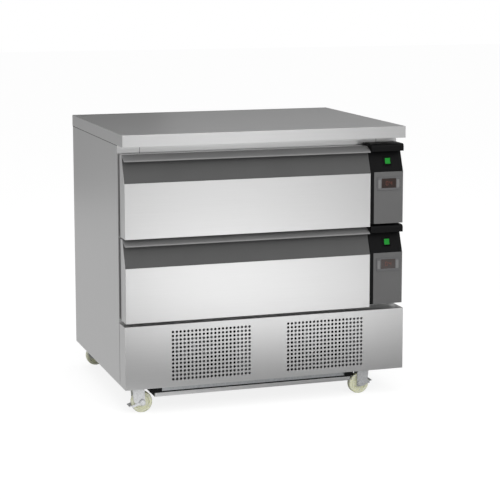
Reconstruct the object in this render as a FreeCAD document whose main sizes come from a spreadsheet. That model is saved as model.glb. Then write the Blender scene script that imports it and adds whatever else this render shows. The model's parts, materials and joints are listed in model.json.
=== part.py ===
import FreeCAD, Part
import math
import os
import Sketcher

# Refrigerated counter with two drawers, in millimetres.
# X runs to the right, Y to the back and Z up. The origin is on the floor, under the middle of the worktop.

Vector = FreeCAD.Vector
doc = FreeCAD.newDocument("drawer_counter")
sheet = doc.addObject("Spreadsheet::Sheet", "sizes")

DIMENSIONS = [
    ("width", 900, "worktop, side to side"),
    ("depth", 700, "worktop, front to back"),
    ("height", 845, "floor to the top of the worktop"),
    ("top_thick", 36, "worktop edge"),
    ("top_radius", 2.5, "rounding of the worktop's folded edges"),
    ("sheet", 1.2, "outer stainless sheet"),
    ("liner_sheet", 1.0, "inner stainless sheet"),
    ("side_inset", 1, "cabinet side behind the worktop's end"),
    ("ground_gap", 78, "floor to the lower edge of the cabinet"),
    ("front_depth", 72, "worktop's front edge to the cabinet's front plane"),
    ("face_setback", 2, "worktop's front edge to the drawer faces"),
    ("flange_width", 68, "front flange of a side panel"),
    ("back_flange", 25, "back flange of a side panel"),
    ("seam_gap", 1.5, "seam between the side flanges and the front frame"),
    ("cover_height", 193, "machine cover"),
    ("cover_lip", 8, "lower fold of the machine cover"),
    ("cover_gap", 9.5, "machine cover to the lower drawer front"),
    ("vent_columns", 21, "vent columns in each field of the machine cover"),
    ("vent_pitch", 12.1, "spacing of the vent columns"),
    ("vent_width", 8, "width of a vent"),
    ("vent_rise", 153.2, "height of a vent field"),
    ("vent_shift", 41.5, "vent field, from the middle of its half towards the other"),
    ("drawer_inset", 5, "worktop's left end to the drawer fronts"),
    ("drawer_gap", 4.5, "between the two drawer fronts"),
    ("top_gap", 20.5, "room above the upper drawer, less that gap"),
    ("grip_height", 82.5, "leaning part of a drawer front"),
    ("grip_lean", 32, "how far the leaning part goes back"),
    ("grip_sheet", 2.0, "wall of the grip"),
    ("lip_drop", 15, "fall of the grip's lip from back to front"),
    ("lip_thick", 4, "edge of the grip's lip"),
    ("door_thick", 59, "insulated drawer front"),
    ("gasket_width", 18, "drawer gasket, across"),
    ("gasket_inset", 8, "edge of the drawer front to the gasket"),
    ("gasket_gap", 0.3, "play between gasket and cabinet"),
    ("opening_side", 38, "compartment opening to the right end of the drawer front"),
    ("opening_rise", 30, "lower edge of the drawer front to the opening"),
    ("opening_head", 34, "top of the opening to the next level"),
    ("back_wall", 60, "insulation behind a compartment"),
    ("bay_wall", 66, "insulation beside the evaporator bay"),
    ("plug_play", 4, "inner door panel to the opening's edge"),
    ("plug_depth", 14, "inner door panel, into the opening"),
    ("rail_side", 1.5, "right edge of the opening to the right rail's seat"),
    ("rail_depth", 13, "one set of telescopic rails, across"),
    ("rail_height", 45, "fixed rail"),
    ("rail_wall", 1.5, "wall of a rail"),
    ("rail_play", 0.4, "between nested rails"),
    ("rail_end", 29, "rails to the back of the compartment"),
    ("rail_rise", 60, "bottom of the drawer box to the fixed rail"),
    ("box_head", 22, "drawer box to the top of the opening"),
    ("box_rise", 8, "opening's lower edge to the drawer box"),
    ("box_sheet", 1.2, "drawer box"),
    ("slot_count", 9, "air slots in the drawer box"),
    ("slot_end", 43.5, "end of the drawer box to its first and last slot"),
    ("slot_width", 10, "air slot"),
    ("slot_side", 46.75, "side of the drawer box to its slots"),
    ("column_inset", 6, "worktop's right end to the control columns"),
    ("column_gap", 2, "drawer front to control column"),
    ("column_width", 107, "control column"),
    ("column_rise", 8, "lower edge of a drawer front to its column"),
    ("column_step", 2.5, "top of the drawer's face to the top of the column's"),
    ("column_wall", 2.5, "moulded housing"),
    ("hood_rise", 64.5, "top of the column's face to the hood"),
    ("hood_height", 22.5, "hood"),
    ("hood_radius", 9, "front of the hood"),
    ("hood_round", 4, "ends of the hood"),
    ("hood_tongue", 5, "flat underside of the hood, from its front"),
    ("fascia_thick", 1, "grey face plate"),
    ("fascia_inset", 10, "black strip beside the face plate"),
    ("bezel_width", 78, "thermostat front"),
    ("bezel_height", 40, "thermostat front"),
    ("bezel_thick", 2, "thermostat front"),
    ("bezel_drop", 17, "top of the face plate to the thermostat front"),
    ("case_width", 71, "thermostat case"),
    ("case_height", 29, "thermostat case"),
    ("case_depth", 48, "thermostat case"),
    ("window_width", 48, "display window"),
    ("window_height", 30, "display window"),
    ("window_thick", 0.8, "display window"),
    ("window_lift", 2, "display window above the middle of its front"),
    ("key_gap", 2.5, "display window to a key strip"),
    ("key_width", 9, "key strip"),
    ("key_height", 26, "key strip"),
    ("key_thick", 1.0, "key strip"),
    ("key_play", 0.25, "round a key"),
    ("key_travel", 0.5, "key stroke"),
    ("key_floor", 0.2, "left under a pressed key"),
    ("switch_width", 22, "rocker"),
    ("switch_length", 25, "rocker, along the leaning face"),
    ("switch_frame", 2.5, "bezel round the rocker"),
    ("switch_proud", 1.5, "bezel above the leaning face"),
    ("switch_depth", 18, "switch case behind the face"),
    ("switch_wall", 3, "back of the switch case"),
    ("switch_step", 1.4, "case inside its frame"),
    ("switch_rise", 1, "switch above the middle of the leaning face"),
    ("rocker_pivot", 5, "rocker's pin behind the leaning face"),
    ("rocker_back", 3, "rocker behind its pin"),
    ("rocker_angle", 6, "rocker to each side, degrees"),
    ("rocker_play", 0.9, "rocker to its bezel"),
    ("wheel_radius", 32.5, "castor wheel"),
    ("wheel_width", 20, "castor wheel"),
    ("hub_width", 23.4, "castor wheel hub"),
    ("hub_radius", 10, "castor wheel hub"),
    ("castor_trail", 13, "swivel axis to wheel axle"),
    ("castor_height", 91, "floor to the chassis floor"),
    ("castor_side_left", 45, "left end of the worktop to the left swivel axes"),
    ("castor_side_right", 125, "right end of the worktop to the right swivel axes"),
    ("castor_end", 38, "front or back of the worktop to the swivel axes"),
    ("fork_wall", 2.5, "castor fork"),
    ("fork_gap", 24, "between the legs of a castor fork"),
    ("fork_top", 77, "floor to the top of the fork's crown"),
    ("fork_front", 17, "swivel axis to the front edge of the crown"),
    ("fork_rear", 20, "swivel axis to its rear edge"),
    ("fork_shoulder", 8, "sides of the crown"),
    ("fork_boss", 9.5, "fork round the axle"),
    ("crown_thick", 3, "castor fork's crown"),
    ("race_radius", 20, "castor's upper race"),
    ("race_gap", 0.3, "between the castor's races"),
    ("race_inset", 3, "lower race inside the upper one"),
    ("race_step", 2, "lower race above the crown"),
    ("king_radius", 5, "castor king pin and stud"),
    ("king_drop", 1.5, "king pin below the crown"),
    ("stud_rise", 12, "castor stud above the chassis"),
    ("nut_radius", 9, "castor stud's nut, across corners"),
    ("nut_height", 7, "castor stud's nut"),
    ("axle_radius", 4, "castor axle bolt"),
    ("bolt_radius", 6.8, "head and nut of an axle bolt, to the corners"),
    ("bolt_head", 4, "head and nut of an axle bolt"),
    ("tread_edge", 3, "cut-off edges of a castor wheel's tread"),
    ("pin_play", 0.05, "running fit round pins and axles"),
    ("pedal_reach", 42, "axle to the end of a brake pedal"),
    ("pedal_tread", 8, "tread of a brake pedal"),
    ("pedal_wall", 2, "brake pedal"),
    ("pedal_boss", 7, "brake pedal round the axle"),
    ("pedal_arm", 4, "half the width of its arm"),
    ("pedal_play", 0.4, "brake pedal to fork"),
    ("chassis_sheet", 1.5, "chassis floor"),
    ("skirt_drop", 25, "front skirt of the chassis"),
    ("tray_floor", 49, "floor to the underside of the base tray"),
    ("tray_wall", 15, "front wall of the base tray"),
    ("tray_left", 94, "left end of the worktop to the base tray"),
    ("tray_right", 174, "right end of the worktop to the base tray"),
    ("tray_setback", 16, "worktop's front edge to the base tray"),
    ("skirt_setback", 12, "worktop's front edge to the chassis skirt"),
    ("compressor_radius", 68, "compressor shell"),
    ("compressor_height", 138, "compressor shell"),
    ("compressor_back", 200, "worktop's back edge to the compressors"),
    ("dome_radius", 34, "dome of the shell"),
    ("shell_taper", 12, "shell's foot inside its wall"),
    ("shell_foot", 16, "height of that taper"),
    ("foot_plate", 3, "compressor foot plate"),
    ("foot_margin", 8, "foot plate beyond the shell"),
    ("foot_inset", 10, "rubber foot inside the plate's edge"),
    ("foot_size", 20, "compressor rubber foot, across"),
    ("foot_height", 14, "floor of the machine room to the shell"),
    ("terminal_width", 44, "terminal box"),
    ("terminal_depth", 29, "terminal box, out from the shell"),
    ("terminal_rise", 32, "shell's foot to the terminal box"),
    ("terminal_height", 29, "terminal box"),
    ("condenser_front", 40, "cabinet front to the condensers"),
    ("condenser_width", 236, "condenser, side to side"),
    ("condenser_height", 150, "condenser"),
    ("condenser_depth", 44, "condenser, front to back"),
    ("fin_count", 9, "fins drawn on a condenser"),
    ("fin_thick", 2, "fin as drawn"),
    ("tube_size", 8, "tube through the fins, as drawn"),
    ("tube_end", 10, "tube beyond the last fin"),
    ("tube_rows", 2, "tubes drawn in each coil"),
    ("fan_radius", 66, "condenser fan"),
    ("fan_play", 4, "fan to its shroud"),
    ("fan_hub", 20, "condenser fan hub"),
    ("fan_depth", 20, "condenser fan"),
    ("fan_gap", 12, "condenser to its fan"),
    ("shroud_sheet", 1.5, "fan shroud"),
    ("motor_radius", 24, "condenser fan motor"),
    ("motor_length", 34, "condenser fan motor"),
    ("motor_gap", 6, "fan to its motor"),
    ("shaft_radius", 3, "fan shaft"),
    ("shaft_tip", 4, "end of the fan to the end of its shaft"),
    ("arm_width", 16, "motor bracket"),
    ("arm_thick", 3, "motor bracket"),
    ("evaporator_width", 46, "evaporator coil"),
    ("coil_side", 34, "compartment to the evaporator coil"),
    ("coil_front", 218, "cabinet front to the coil"),
    ("coil_end", 19, "coil to the back of the compartment"),
    ("coil_clear", 20, "above and below the coil"),
    ("coil_fins", 7, "fins drawn on an evaporator"),
    ("cold_fan_radius", 44, "evaporator fan"),
    ("cold_fan_hub", 14, "evaporator fan hub"),
    ("cold_fan_depth", 12, "evaporator fan"),
    ("cold_fan_front", 118, "cabinet front to the evaporator fan"),
    ("cold_fan_clear", 21, "evaporator fan below the top of the compartment"),
    ("cold_fan_gap", 4, "duct wall to the evaporator fan"),
    ("cold_ring_play", 3, "evaporator fan to its ring"),
    ("cold_motor_radius", 16, "evaporator fan motor"),
    ("cold_motor_length", 20, "evaporator fan motor"),
    ("cold_motor_gap", 6, "evaporator fan to its motor"),
    ("cold_shaft_radius", 2.5, "evaporator fan shaft"),
    ("cold_arm_width", 10, "evaporator motor bracket"),
    ("cold_arm_thick", 2, "evaporator motor bracket"),
    ("blade_count", 5, "blades of each fan"),
    ("blade_thick", 1.2, "fan blade"),
    ("blade_root", 18, "fan blade at its hub"),
    ("return_count", 6, "return air slots"),
    ("return_end", 139, "first return slot to the back of the compartment"),
    ("return_pitch", 20, "spacing of the return slots"),
    ("return_width", 10, "return slot"),
    ("return_height", 26, "return slot"),
    ("return_drop", 8, "top of the compartment to a return slot"),
    ("gland_radius", 9, "mains cable gland"),
    ("gland_bore", 5, "hole for the cable"),
    ("gland_collar", 13, "collar and nut of the gland"),
    ("gland_length", 14, "gland inside the back panel"),
    ("gland_nut", 5, "nut of the gland"),
    ("gland_side", 70, "worktop's right end to the gland"),
    ("gland_rise", 40, "chassis to the gland"),
    ("pipe_radius", 4, "refrigerant pipe"),
    ("pipe_bend", 20, "largest bend of a pipe"),
    ("pipe_offset", 20, "middle of a compressor to the pipe on its top"),
    ("louvre_count", 9, "vents in the back panel"),
    ("louvre_pitch", 16, "spacing of the back vents"),
    ("louvre_height", 6, "back vent"),
    ("louvre_width", 300, "back vent"),
    ("louvre_rise", 20, "chassis to the lowest back vent"),
]


class Size:
    """A length with its value in millimetres and the sheet formula that gives it."""

    def __init__(self, value, formula):
        self.value = value
        self.formula = formula

    def __add__(self, other):
        other = as_size(other)
        return Size(self.value + other.value, f"({self.formula} + {other.formula})")

    def __sub__(self, other):
        other = as_size(other)
        return Size(self.value - other.value, f"({self.formula} - {other.formula})")

    def __mul__(self, factor):
        factor = as_size(factor)
        return Size(self.value * factor.value, f"({self.formula} * {factor.formula})")

    def __truediv__(self, divisor):
        divisor = as_size(divisor)
        return Size(self.value / divisor.value, f"({self.formula} / {divisor.formula})")

    def __neg__(self):
        return Size(-self.value, f"(0 - {self.formula})")

    def __radd__(self, other):
        return as_size(other) + self

    def __rsub__(self, other):
        return as_size(other) - self

    def __rmul__(self, other):
        return as_size(other) * self


def as_size(number):
    return number if isinstance(number, Size) else Size(float(number), f"({number})")


class Sizes:
    """The sheet's dimensions by name."""


d = Sizes()
for row, (alias, value, note) in enumerate(DIMENSIONS, 1):
    sheet.set(f"A{row}", alias)
    sheet.set(f"B{row}", str(value))
    sheet.set(f"C{row}", note)
    sheet.setAlias(f"B{row}", alias)
    setattr(d, alias, Size(float(value), f"sizes.{alias}"))
doc.recompute()

# Planes and levels that several pieces share
front = -(d.depth / 2)
back = d.depth / 2
left = -(d.width / 2)
right = d.width / 2
face = front + d.face_setback
cabinet_front = front + d.front_depth
cabinet_back = back - d.side_inset
cabinet_left = left + d.side_inset
cabinet_right = right - d.side_inset
top_under = d.height - d.top_thick
machine_top = d.ground_gap + d.cover_height
drawer_floor = machine_top + d.cover_gap
column_x1 = right - d.column_inset
column_x0 = column_x1 - d.column_width
drawer_left = left + d.drawer_inset
drawer_right = column_x0 - d.column_gap
drawer_middle = (drawer_left + drawer_right) / 2
drawer_width = drawer_right - drawer_left
drawer_pitch = (top_under - d.top_gap - drawer_floor) / 2
drawer_height = drawer_pitch - d.drawer_gap
face_height = drawer_height - d.grip_height
door_back = face + d.door_thick
opening_left = cabinet_left + d.flange_width
opening_right = drawer_right - d.opening_side
opening_height = drawer_pitch - d.opening_rise - d.opening_head
opening_top = d.opening_rise + opening_height
bay_right = cabinet_right - d.bay_wall
liner_back = cabinet_back - d.back_wall
chassis_top = d.castor_height + d.chassis_sheet
tray_x0 = left + d.tray_left
tray_x1 = right - d.tray_right
gland_x = right - d.gland_side
gland_z = d.castor_height + d.gland_rise
vent_offset = d.width / 4 - d.vent_shift
compressor_y = back - d.compressor_back
condenser_y = cabinet_front + d.condenser_front
fan_y = condenser_y + d.condenser_depth + d.fan_gap
fan_z = chassis_top + d.condenser_height / 2
coil_x = opening_right + d.coil_side
coil_y = cabinet_front + d.coil_front
coil_length = liner_back - d.coil_end - coil_y
coil_height = opening_height - d.coil_clear * 2
cold_fan_y = cabinet_front + d.cold_fan_front
cold_fan_z = opening_height / 2 - d.cold_fan_radius - d.cold_fan_clear
CIRCUITS = {"left": -vent_offset, "right": vent_offset}
LEVELS = {"lower": as_size(0), "upper": drawer_pitch}

# Angles in whole degrees, and shares that have no size of their own
PEDAL_DOWN = 18
PEDAL_UP = -7
BLADE_PITCH = 28
BLADE_TIP = 0.34
BLADE_SEAT = 0.8
ROCKER_FOOT = 0.8
DOME_CUT = 0.3

nodes = {}


def bind(item, **formulas):
    """Ties properties of an object to sheet formulas; a double underscore stands for a dot."""
    for name, size in formulas.items():
        item.setExpression(name.replace("__", "."), as_size(size).formula)


def place(item, x=0, y=0, z=0, turn=0):
    """Puts an object at a bound place, turned about the vertical by whole degrees."""
    item.Placement = FreeCAD.Placement(Vector(0, 0, 0), FreeCAD.Rotation(Vector(0, 0, 1), turn))
    bind(item, Placement__Base__x=x, Placement__Base__y=y, Placement__Base__z=z)
    return item


def node(name, item):
    """Registers an object as a sub-part that is written to its own file."""
    item.Label = name
    nodes[name] = item
    return item


def box(x0, x1, y0, y1, z0, z1):
    x0, x1, y0, y1, z0, z1 = (as_size(value) for value in (x0, x1, y0, y1, z0, z1))
    item = doc.addObject("Part::Box", "block")
    bind(item, Length=x1 - x0, Width=y1 - y0, Height=z1 - z0)
    return place(item, x0, y0, z0)


AXES = {"x": (Vector(0, 1, 0), 90), "y": (Vector(1, 0, 0), -90), "z": (Vector(0, 0, 1), 0)}


def cylinder(radius, length, x, y, z, axis="z"):
    """A cylinder that starts at a point and runs along +X, +Y or +Z."""
    item = doc.addObject("Part::Cylinder", "round")
    bind(item, Radius=radius, Height=length)
    item.Placement = FreeCAD.Placement(Vector(0, 0, 0), FreeCAD.Rotation(*AXES[axis]))
    bind(item, Placement__Base__x=x, Placement__Base__y=y, Placement__Base__z=z)
    return item


def fuse(*items):
    item = doc.addObject("Part::MultiFuse", "joined")
    item.Shapes = list(items)
    item.Refine = True
    return item


def cut(base, *tools):
    item = doc.addObject("Part::Cut", "cut")
    item.Base = base
    item.Tool = tools[0] if len(tools) == 1 else fuse(*tools)
    return item


def group(*items):
    """Separate solids that share one node."""
    item = doc.addObject("Part::Compound", "group")
    item.Links = list(items)
    return item


def new_body():
    return doc.addObject("PartDesign::Body", "body")


def sketch(body, role, loops, offset=None):
    """A sketch on one of the body's own origin planes.

    A loop is a list of corners (across, up), or (across, up, radius, side) where an arc of that radius
    leads to the next corner, bulging to the side: 1 is left of the way and -1 right. A circle is
    ("circle", across, up, radius).
    """
    item = body.newObject("Sketcher::SketchObject", "sketch")
    plane = [feature for feature in body.Origin.OriginFeatures if feature.Role == role][0]
    item.AttachmentSupport = [(plane, "")]
    item.MapMode = "FlatFace"
    if offset is not None:
        bind(item, AttachmentOffset__Base__z=offset)
    for loop in loops:
        if loop[0] == "circle":
            add_circle(item, *loop[1:])
        else:
            add_loop(item, loop)
    return item


def pin_point(item, geometry, end, across, up):
    """Holds a sketch point at a bound distance from the sketch's origin."""
    for kind, size in (("DistanceX", across), ("DistanceY", up)):
        size = as_size(size)
        number = item.addConstraint(Sketcher.Constraint(kind, -1, 1, geometry, end, size.value))
        item.setExpression(f"Constraints[{number}]", size.formula)


def add_circle(item, across, up, radius):
    centre = Vector(as_size(across).value, as_size(up).value, 0)
    circle = Part.Circle(centre, Vector(0, 0, 1), as_size(radius).value)
    geometry = item.addGeometry(circle, False)
    pin_point(item, geometry, 3, across, up)
    number = item.addConstraint(Sketcher.Constraint("Radius", geometry, as_size(radius).value))
    item.setExpression(f"Constraints[{number}]", as_size(radius).formula)


def add_loop(item, corners):
    points = [Vector(as_size(corner[0]).value, as_size(corner[1]).value, 0) for corner in corners]
    edges = []
    for index, corner in enumerate(corners):
        start = points[index]
        end = points[(index + 1) % len(points)]
        if len(corner) == 4:
            edges.append(add_arc(item, start, end, as_size(corner[2]), corner[3]))
        else:
            edges.append((item.addGeometry(Part.LineSegment(start, end), False), 1, 2))
    for index, corner in enumerate(corners):
        geometry, first, _ = edges[index]
        before, _, last = edges[index - 1]
        item.addConstraint(Sketcher.Constraint("Coincident", before, last, geometry, first))
        pin_point(item, geometry, first, corner[0], corner[1])


def add_arc(item, start, end, radius, side):
    """An arc under a half circle. Returns its number and the numbers of its first and last end."""
    chord = end - start
    half = chord.Length / 2
    across = Vector(-chord.y, chord.x, 0)
    across.normalize()
    depth = math.sqrt(max(radius.value**2 - half**2, 0))
    centre = (start + end) * 0.5 - across * (side * depth)
    first, last = (start, end) if side < 0 else (end, start)
    from_angle = math.atan2(first.y - centre.y, first.x - centre.x)
    to_angle = math.atan2(last.y - centre.y, last.x - centre.x)
    circle = Part.Circle(centre, Vector(0, 0, 1), radius.value)
    arc = Part.ArcOfCircle(circle, from_angle, to_angle)
    geometry = item.addGeometry(arc, False)
    number = item.addConstraint(Sketcher.Constraint("Radius", geometry, radius.value))
    item.setExpression(f"Constraints[{number}]", radius.formula)
    return (geometry, 1, 2) if side < 0 else (geometry, 2, 1)


def rectangle(x0, x1, y0, y1):
    return [(x0, y0), (x1, y0), (x1, y1), (x0, y1)]


def pad(body, profile, length, both_ways=False, turned=False):
    item = body.newObject("PartDesign::Pad", "pad")
    item.Profile = profile
    bind(item, Length=length)
    item.SideType = "Symmetric" if both_ways else "One side"
    item.Reversed = turned
    body.Tip = item
    return item


def pocket(body, profile, length=None, both_ways=False, turned=False):
    """Cuts a profile out of the body, and makes sure that it did."""
    doc.recompute()
    before = body.Shape.Volume
    item = body.newObject("PartDesign::Pocket", "pocket")
    item.Profile = profile
    if length is None:
        item.Type = "ThroughAll"
    else:
        bind(item, Length=length)
    item.SideType = "Symmetric" if both_ways else "One side"
    item.Reversed = turned
    body.Tip = item
    doc.recompute()
    if body.Shape.Volume > before - 1e-3:
        raise RuntimeError(f"{body.Label}: a pocket cuts nothing")
    return item


def row_of(body, feature, axis, pitch, count):
    """Repeats a feature along an axis of the profile's sketch, to both sides of its middle."""
    item = body.newObject("PartDesign::LinearPattern", "row")
    item.Originals = [feature]
    item.Direction = (feature.Profile[0], [axis])
    item.Mode = "Spacing"
    bind(item, Offset=pitch, Occurrences=count)
    body.Tip = item
    return item


def revolve(body, profile, axis):
    item = body.newObject("PartDesign::Revolution", "turned")
    item.Profile = profile
    item.ReferenceAxis = (profile, [axis])
    item.Angle = 360
    body.Tip = item
    return item


def soften(body, radius, wanted):
    """Rounds the edges whose middle point passes a test."""
    doc.recompute()
    tip = body.Tip
    names = []
    for number, edge in enumerate(tip.Shape.Edges, 1):
        middle = edge.valueAt((edge.FirstParameter + edge.LastParameter) / 2)
        if wanted(middle):
            names.append(f"Edge{number}")
    item = body.newObject("PartDesign::Fillet", "rounding")
    item.Base = (tip, names)
    bind(item, Radius=radius)
    body.Tip = item
    return item


def near(value, size, reach=0.01):
    return abs(value - as_size(size).value) < reach


# Worktop: a folded pan whose deep front fold closes the overhang from below
def make_worktop():
    body = new_body()
    outline = rectangle(left, right, front, back)
    pad(body, sketch(body, "XY_Plane", [outline], top_under), d.top_thick)
    soften(
        body,
        d.top_radius,
        lambda p: near(p.z, d.height) or (near(abs(p.x), right) and near(abs(p.y), back)),
    )
    inside = rectangle(left + d.sheet, right - d.sheet, cabinet_front, back - d.sheet)
    pocket(body, sketch(body, "XY_Plane", [inside], top_under), d.top_thick - d.sheet, turned=True)
    under = rectangle(left + d.sheet, right - d.sheet, top_under + d.sheet, d.height - d.sheet)
    over_front = sketch(body, "XZ_Plane", [under], -cabinet_front)
    pocket(body, over_front, d.front_depth - d.sheet, turned=True)
    node("worktop", body)


# Side panels: folded sheets with a wide front flange and a narrow back one
def make_side_panel(name, edge, way):
    inner = edge + d.sheet * way
    lip = edge + d.flange_width * way
    hem = edge + d.back_flange * way
    outline = [
        (edge, cabinet_front),
        (lip, cabinet_front),
        (lip, cabinet_front + d.sheet),
        (inner, cabinet_front + d.sheet),
        (inner, cabinet_back - d.sheet),
        (hem, cabinet_back - d.sheet),
        (hem, cabinet_back),
        (edge, cabinet_back),
    ]
    body = new_body()
    pad(body, sketch(body, "XY_Plane", [outline], d.ground_gap), top_under - d.ground_gap)
    notch = rectangle(inner, lip + way, cabinet_front - 1, cabinet_front + d.sheet)
    notch_height = chassis_top - d.ground_gap
    pocket(body, sketch(body, "XY_Plane", [notch], d.ground_gap), notch_height, turned=True)
    node(name, body)


# Back panel: vents over the machine room and a hole for the cable gland
def make_back_panel():
    body = new_body()
    x1 = cabinet_right - d.back_flange
    plate = rectangle(-x1, x1, d.ground_gap, top_under)
    pad(body, sketch(body, "XZ_Plane", [plate], -cabinet_back), d.sheet)
    for way in (-1, 1):
        middle = vent_offset * way
        low = d.castor_height + d.louvre_rise
        vent = rectangle(middle - d.louvre_width / 2, middle + d.louvre_width / 2, low, low + d.louvre_height)
        feature = pocket(body, sketch(body, "XZ_Plane", [vent], -cabinet_back), d.sheet * 2, turned=True)
        row_of(body, feature, "V_Axis", d.louvre_pitch, d.louvre_count)
    hole = ("circle", gland_x, gland_z, d.gland_radius + d.pin_play)
    pocket(body, sketch(body, "XZ_Plane", [hole], -cabinet_back), d.sheet * 2, turned=True)
    node("back_panel", body)


# Cable gland: a moulded bush with a collar outside and a nut inside
def make_cable_gland():
    body = new_body()
    outline = [
        (d.gland_bore, -d.gland_length),
        (d.gland_radius, -d.gland_length),
        (d.gland_radius, as_size(0)),
        (d.gland_collar, as_size(0)),
        (d.gland_collar, d.side_inset),
        (d.gland_bore, d.side_inset),
    ]
    revolve(body, sketch(body, "XY_Plane", [outline]), "V_Axis")
    nut = hexagon(d.gland_collar, d.gland_nut, as_size(0), -(d.sheet + d.gland_nut), as_size(0), "y")
    hole = cylinder(d.gland_radius, d.gland_nut * 4, as_size(0), -d.gland_nut * 2, as_size(0), "y")
    node("cable_gland", place(fuse(body, cut(nut, hole)), gland_x, cabinet_back, gland_z))


# Front frame: a comb of top rail, middle bar and lower rail on one stile, beside the left flange
def make_front_frame():
    edge = cabinet_right - d.flange_width - d.seam_gap
    outline = [(-edge, machine_top), (edge, machine_top), (edge, top_under), (-edge, top_under)]
    for name in ("upper", "lower"):
        low = drawer_floor + LEVELS[name] + d.opening_rise
        high = low + opening_height
        outline += [(-edge, high), (opening_right, high), (opening_right, low), (-edge, low)]
    body = new_body()
    pad(body, sketch(body, "XZ_Plane", [outline], -(cabinet_front + d.sheet)), d.sheet)
    node("front_frame", body)


def liner_outside(level, grow):
    low = drawer_floor + level + d.opening_rise
    return box(
        opening_left - grow,
        bay_right + grow,
        cabinet_front + d.sheet,
        liner_back + grow,
        low - grow,
        low + opening_height + grow,
    )


# Liners: the inner wall of each compartment, open to the front
def make_liners():
    liners = []
    for level in LEVELS.values():
        liners.append(cut(liner_outside(level, d.liner_sheet), liner_outside(level, as_size(0))))
    node("compartment_liners", group(*liners))


# Insulation: foam between the skins and the liners, and up inside the worktop
def make_insulation():
    block = box(
        cabinet_left + d.sheet,
        cabinet_right - d.sheet,
        cabinet_front + d.sheet,
        cabinet_back - d.sheet,
        machine_top + d.sheet,
        top_under,
    )
    slab = box(
        left + d.sheet,
        right - d.sheet,
        cabinet_front,
        back - d.sheet,
        top_under,
        d.height - d.sheet,
    )
    nose = box(
        left + d.sheet,
        right - d.sheet,
        front + d.sheet,
        cabinet_front,
        top_under + d.sheet,
        d.height - d.sheet,
    )
    rooms = [liner_outside(level, d.liner_sheet) for level in LEVELS.values()]
    node("cabinet_insulation", cut(fuse(block, slab, nose), *rooms))


# Machine room ceiling: the sheet under the insulation
def make_ceiling():
    plate = box(
        cabinet_left + d.sheet,
        cabinet_right - d.sheet,
        cabinet_front + d.sheet,
        cabinet_back - d.sheet,
        machine_top,
        machine_top + d.sheet,
    )
    node("machine_room_ceiling", plate)


def castor_places():
    """Name, x, y and turn of each castor; the wheels trail towards the middle."""
    return [
        ("front_left", left + d.castor_side_left, front + d.castor_end, 0),
        ("front_right", right - d.castor_side_right, front + d.castor_end, 180),
        ("rear_left", left + d.castor_side_left, back - d.castor_end, 0),
        ("rear_right", right - d.castor_side_right, back - d.castor_end, 180),
    ]


# Chassis: the machine room's floor with a short skirt in front, between the castors
def make_chassis():
    body = new_body()
    x1 = cabinet_right - d.sheet
    low = d.castor_height
    floor = rectangle(-x1, x1, face + d.sheet, cabinet_back - d.sheet)
    holes = [("circle", x, y, d.king_radius + d.pin_play) for _, x, y, _ in castor_places()]
    pad(body, sketch(body, "XY_Plane", [floor] + holes, low), d.chassis_sheet)
    skirt_y = front + d.skirt_setback
    skirt = rectangle(tray_x0, tray_x1, skirt_y, skirt_y + d.sheet)
    pad(body, sketch(body, "XY_Plane", [skirt], low), d.skirt_drop, turned=True)
    node("base_chassis", body)


# Base tray: the shallow stainless tray that hangs between the castors
def make_base_tray():
    y0 = front + d.tray_setback
    y1 = back - d.tray_setback
    t = d.sheet
    z0 = d.tray_floor
    outer = box(tray_x0, tray_x1, y0, y1, z0, d.castor_height)
    inner = box(tray_x0 + t, tray_x1 - t, y0 + t, y1 - t, z0 + t, d.castor_height)
    slot = box(tray_x0 + t, tray_x1 - t, y0, y1, z0 + d.tray_wall, d.castor_height)
    node("base_tray", cut(outer, inner, slot))


# Machine cover: a five-sided tray with two fields of vents. Each vent column is one slot.
def make_machine_cover():
    body = new_body()
    x1 = cabinet_right
    y0 = face
    y1 = cabinet_front
    t = d.sheet
    z0 = d.ground_gap
    pad(body, sketch(body, "XY_Plane", [rectangle(-x1, x1, y0, y1)], z0), d.cover_height)
    inside = rectangle(-(x1 - t), x1 - t, z0 + t, machine_top - t)
    pocket(body, sketch(body, "XZ_Plane", [inside], -y1), y1 - y0 - t, turned=True)
    under = rectangle(-(x1 - t), x1 - t, y0 + d.cover_lip, y1)
    pocket(body, sketch(body, "XY_Plane", [under], z0), t * 2, turned=True)
    middle = z0 + d.cover_height / 2
    for way in (-1, 1):
        first = vent_offset * way - d.vent_pitch * (d.vent_columns - 1) / 2
        x0 = first - d.vent_width / 2
        vent = rectangle(x0, x0 + d.vent_width, middle - d.vent_rise / 2, middle + d.vent_rise / 2)
        feature = pocket(body, sketch(body, "XZ_Plane", [vent], -y0), t * 2)
        row_of(body, feature, "H_Axis", d.vent_pitch, d.vent_columns)
    node("machine_cover", body)


# Drawer front skin: folded sheet whose upper part leans back behind the grip
def make_drawer_front(name, level):
    body = new_body()
    t = d.sheet
    h = drawer_height
    g = d.grip_sheet
    outline = [
        (door_back, as_size(0)),
        (door_back, h),
        (face + d.grip_lean + g, h),
        (face + g, face_height),
        (face, face_height),
        (face, as_size(0)),
    ]
    pad(body, sketch(body, "YZ_Plane", [outline], drawer_middle), drawer_width, both_ways=True)
    inside = [
        (door_back, t),
        (door_back, h - t),
        (face + d.grip_lean + g + t, h - t),
        (face + g + t, face_height - t),
        (face + t, face_height - t),
        (face + t, t),
    ]
    hollow = sketch(body, "YZ_Plane", [inside], drawer_middle)
    pocket(body, hollow, drawer_width - t * 2, both_ways=True)
    node(f"{name}_drawer_front", place(body, 0, 0, drawer_floor + level))


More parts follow.
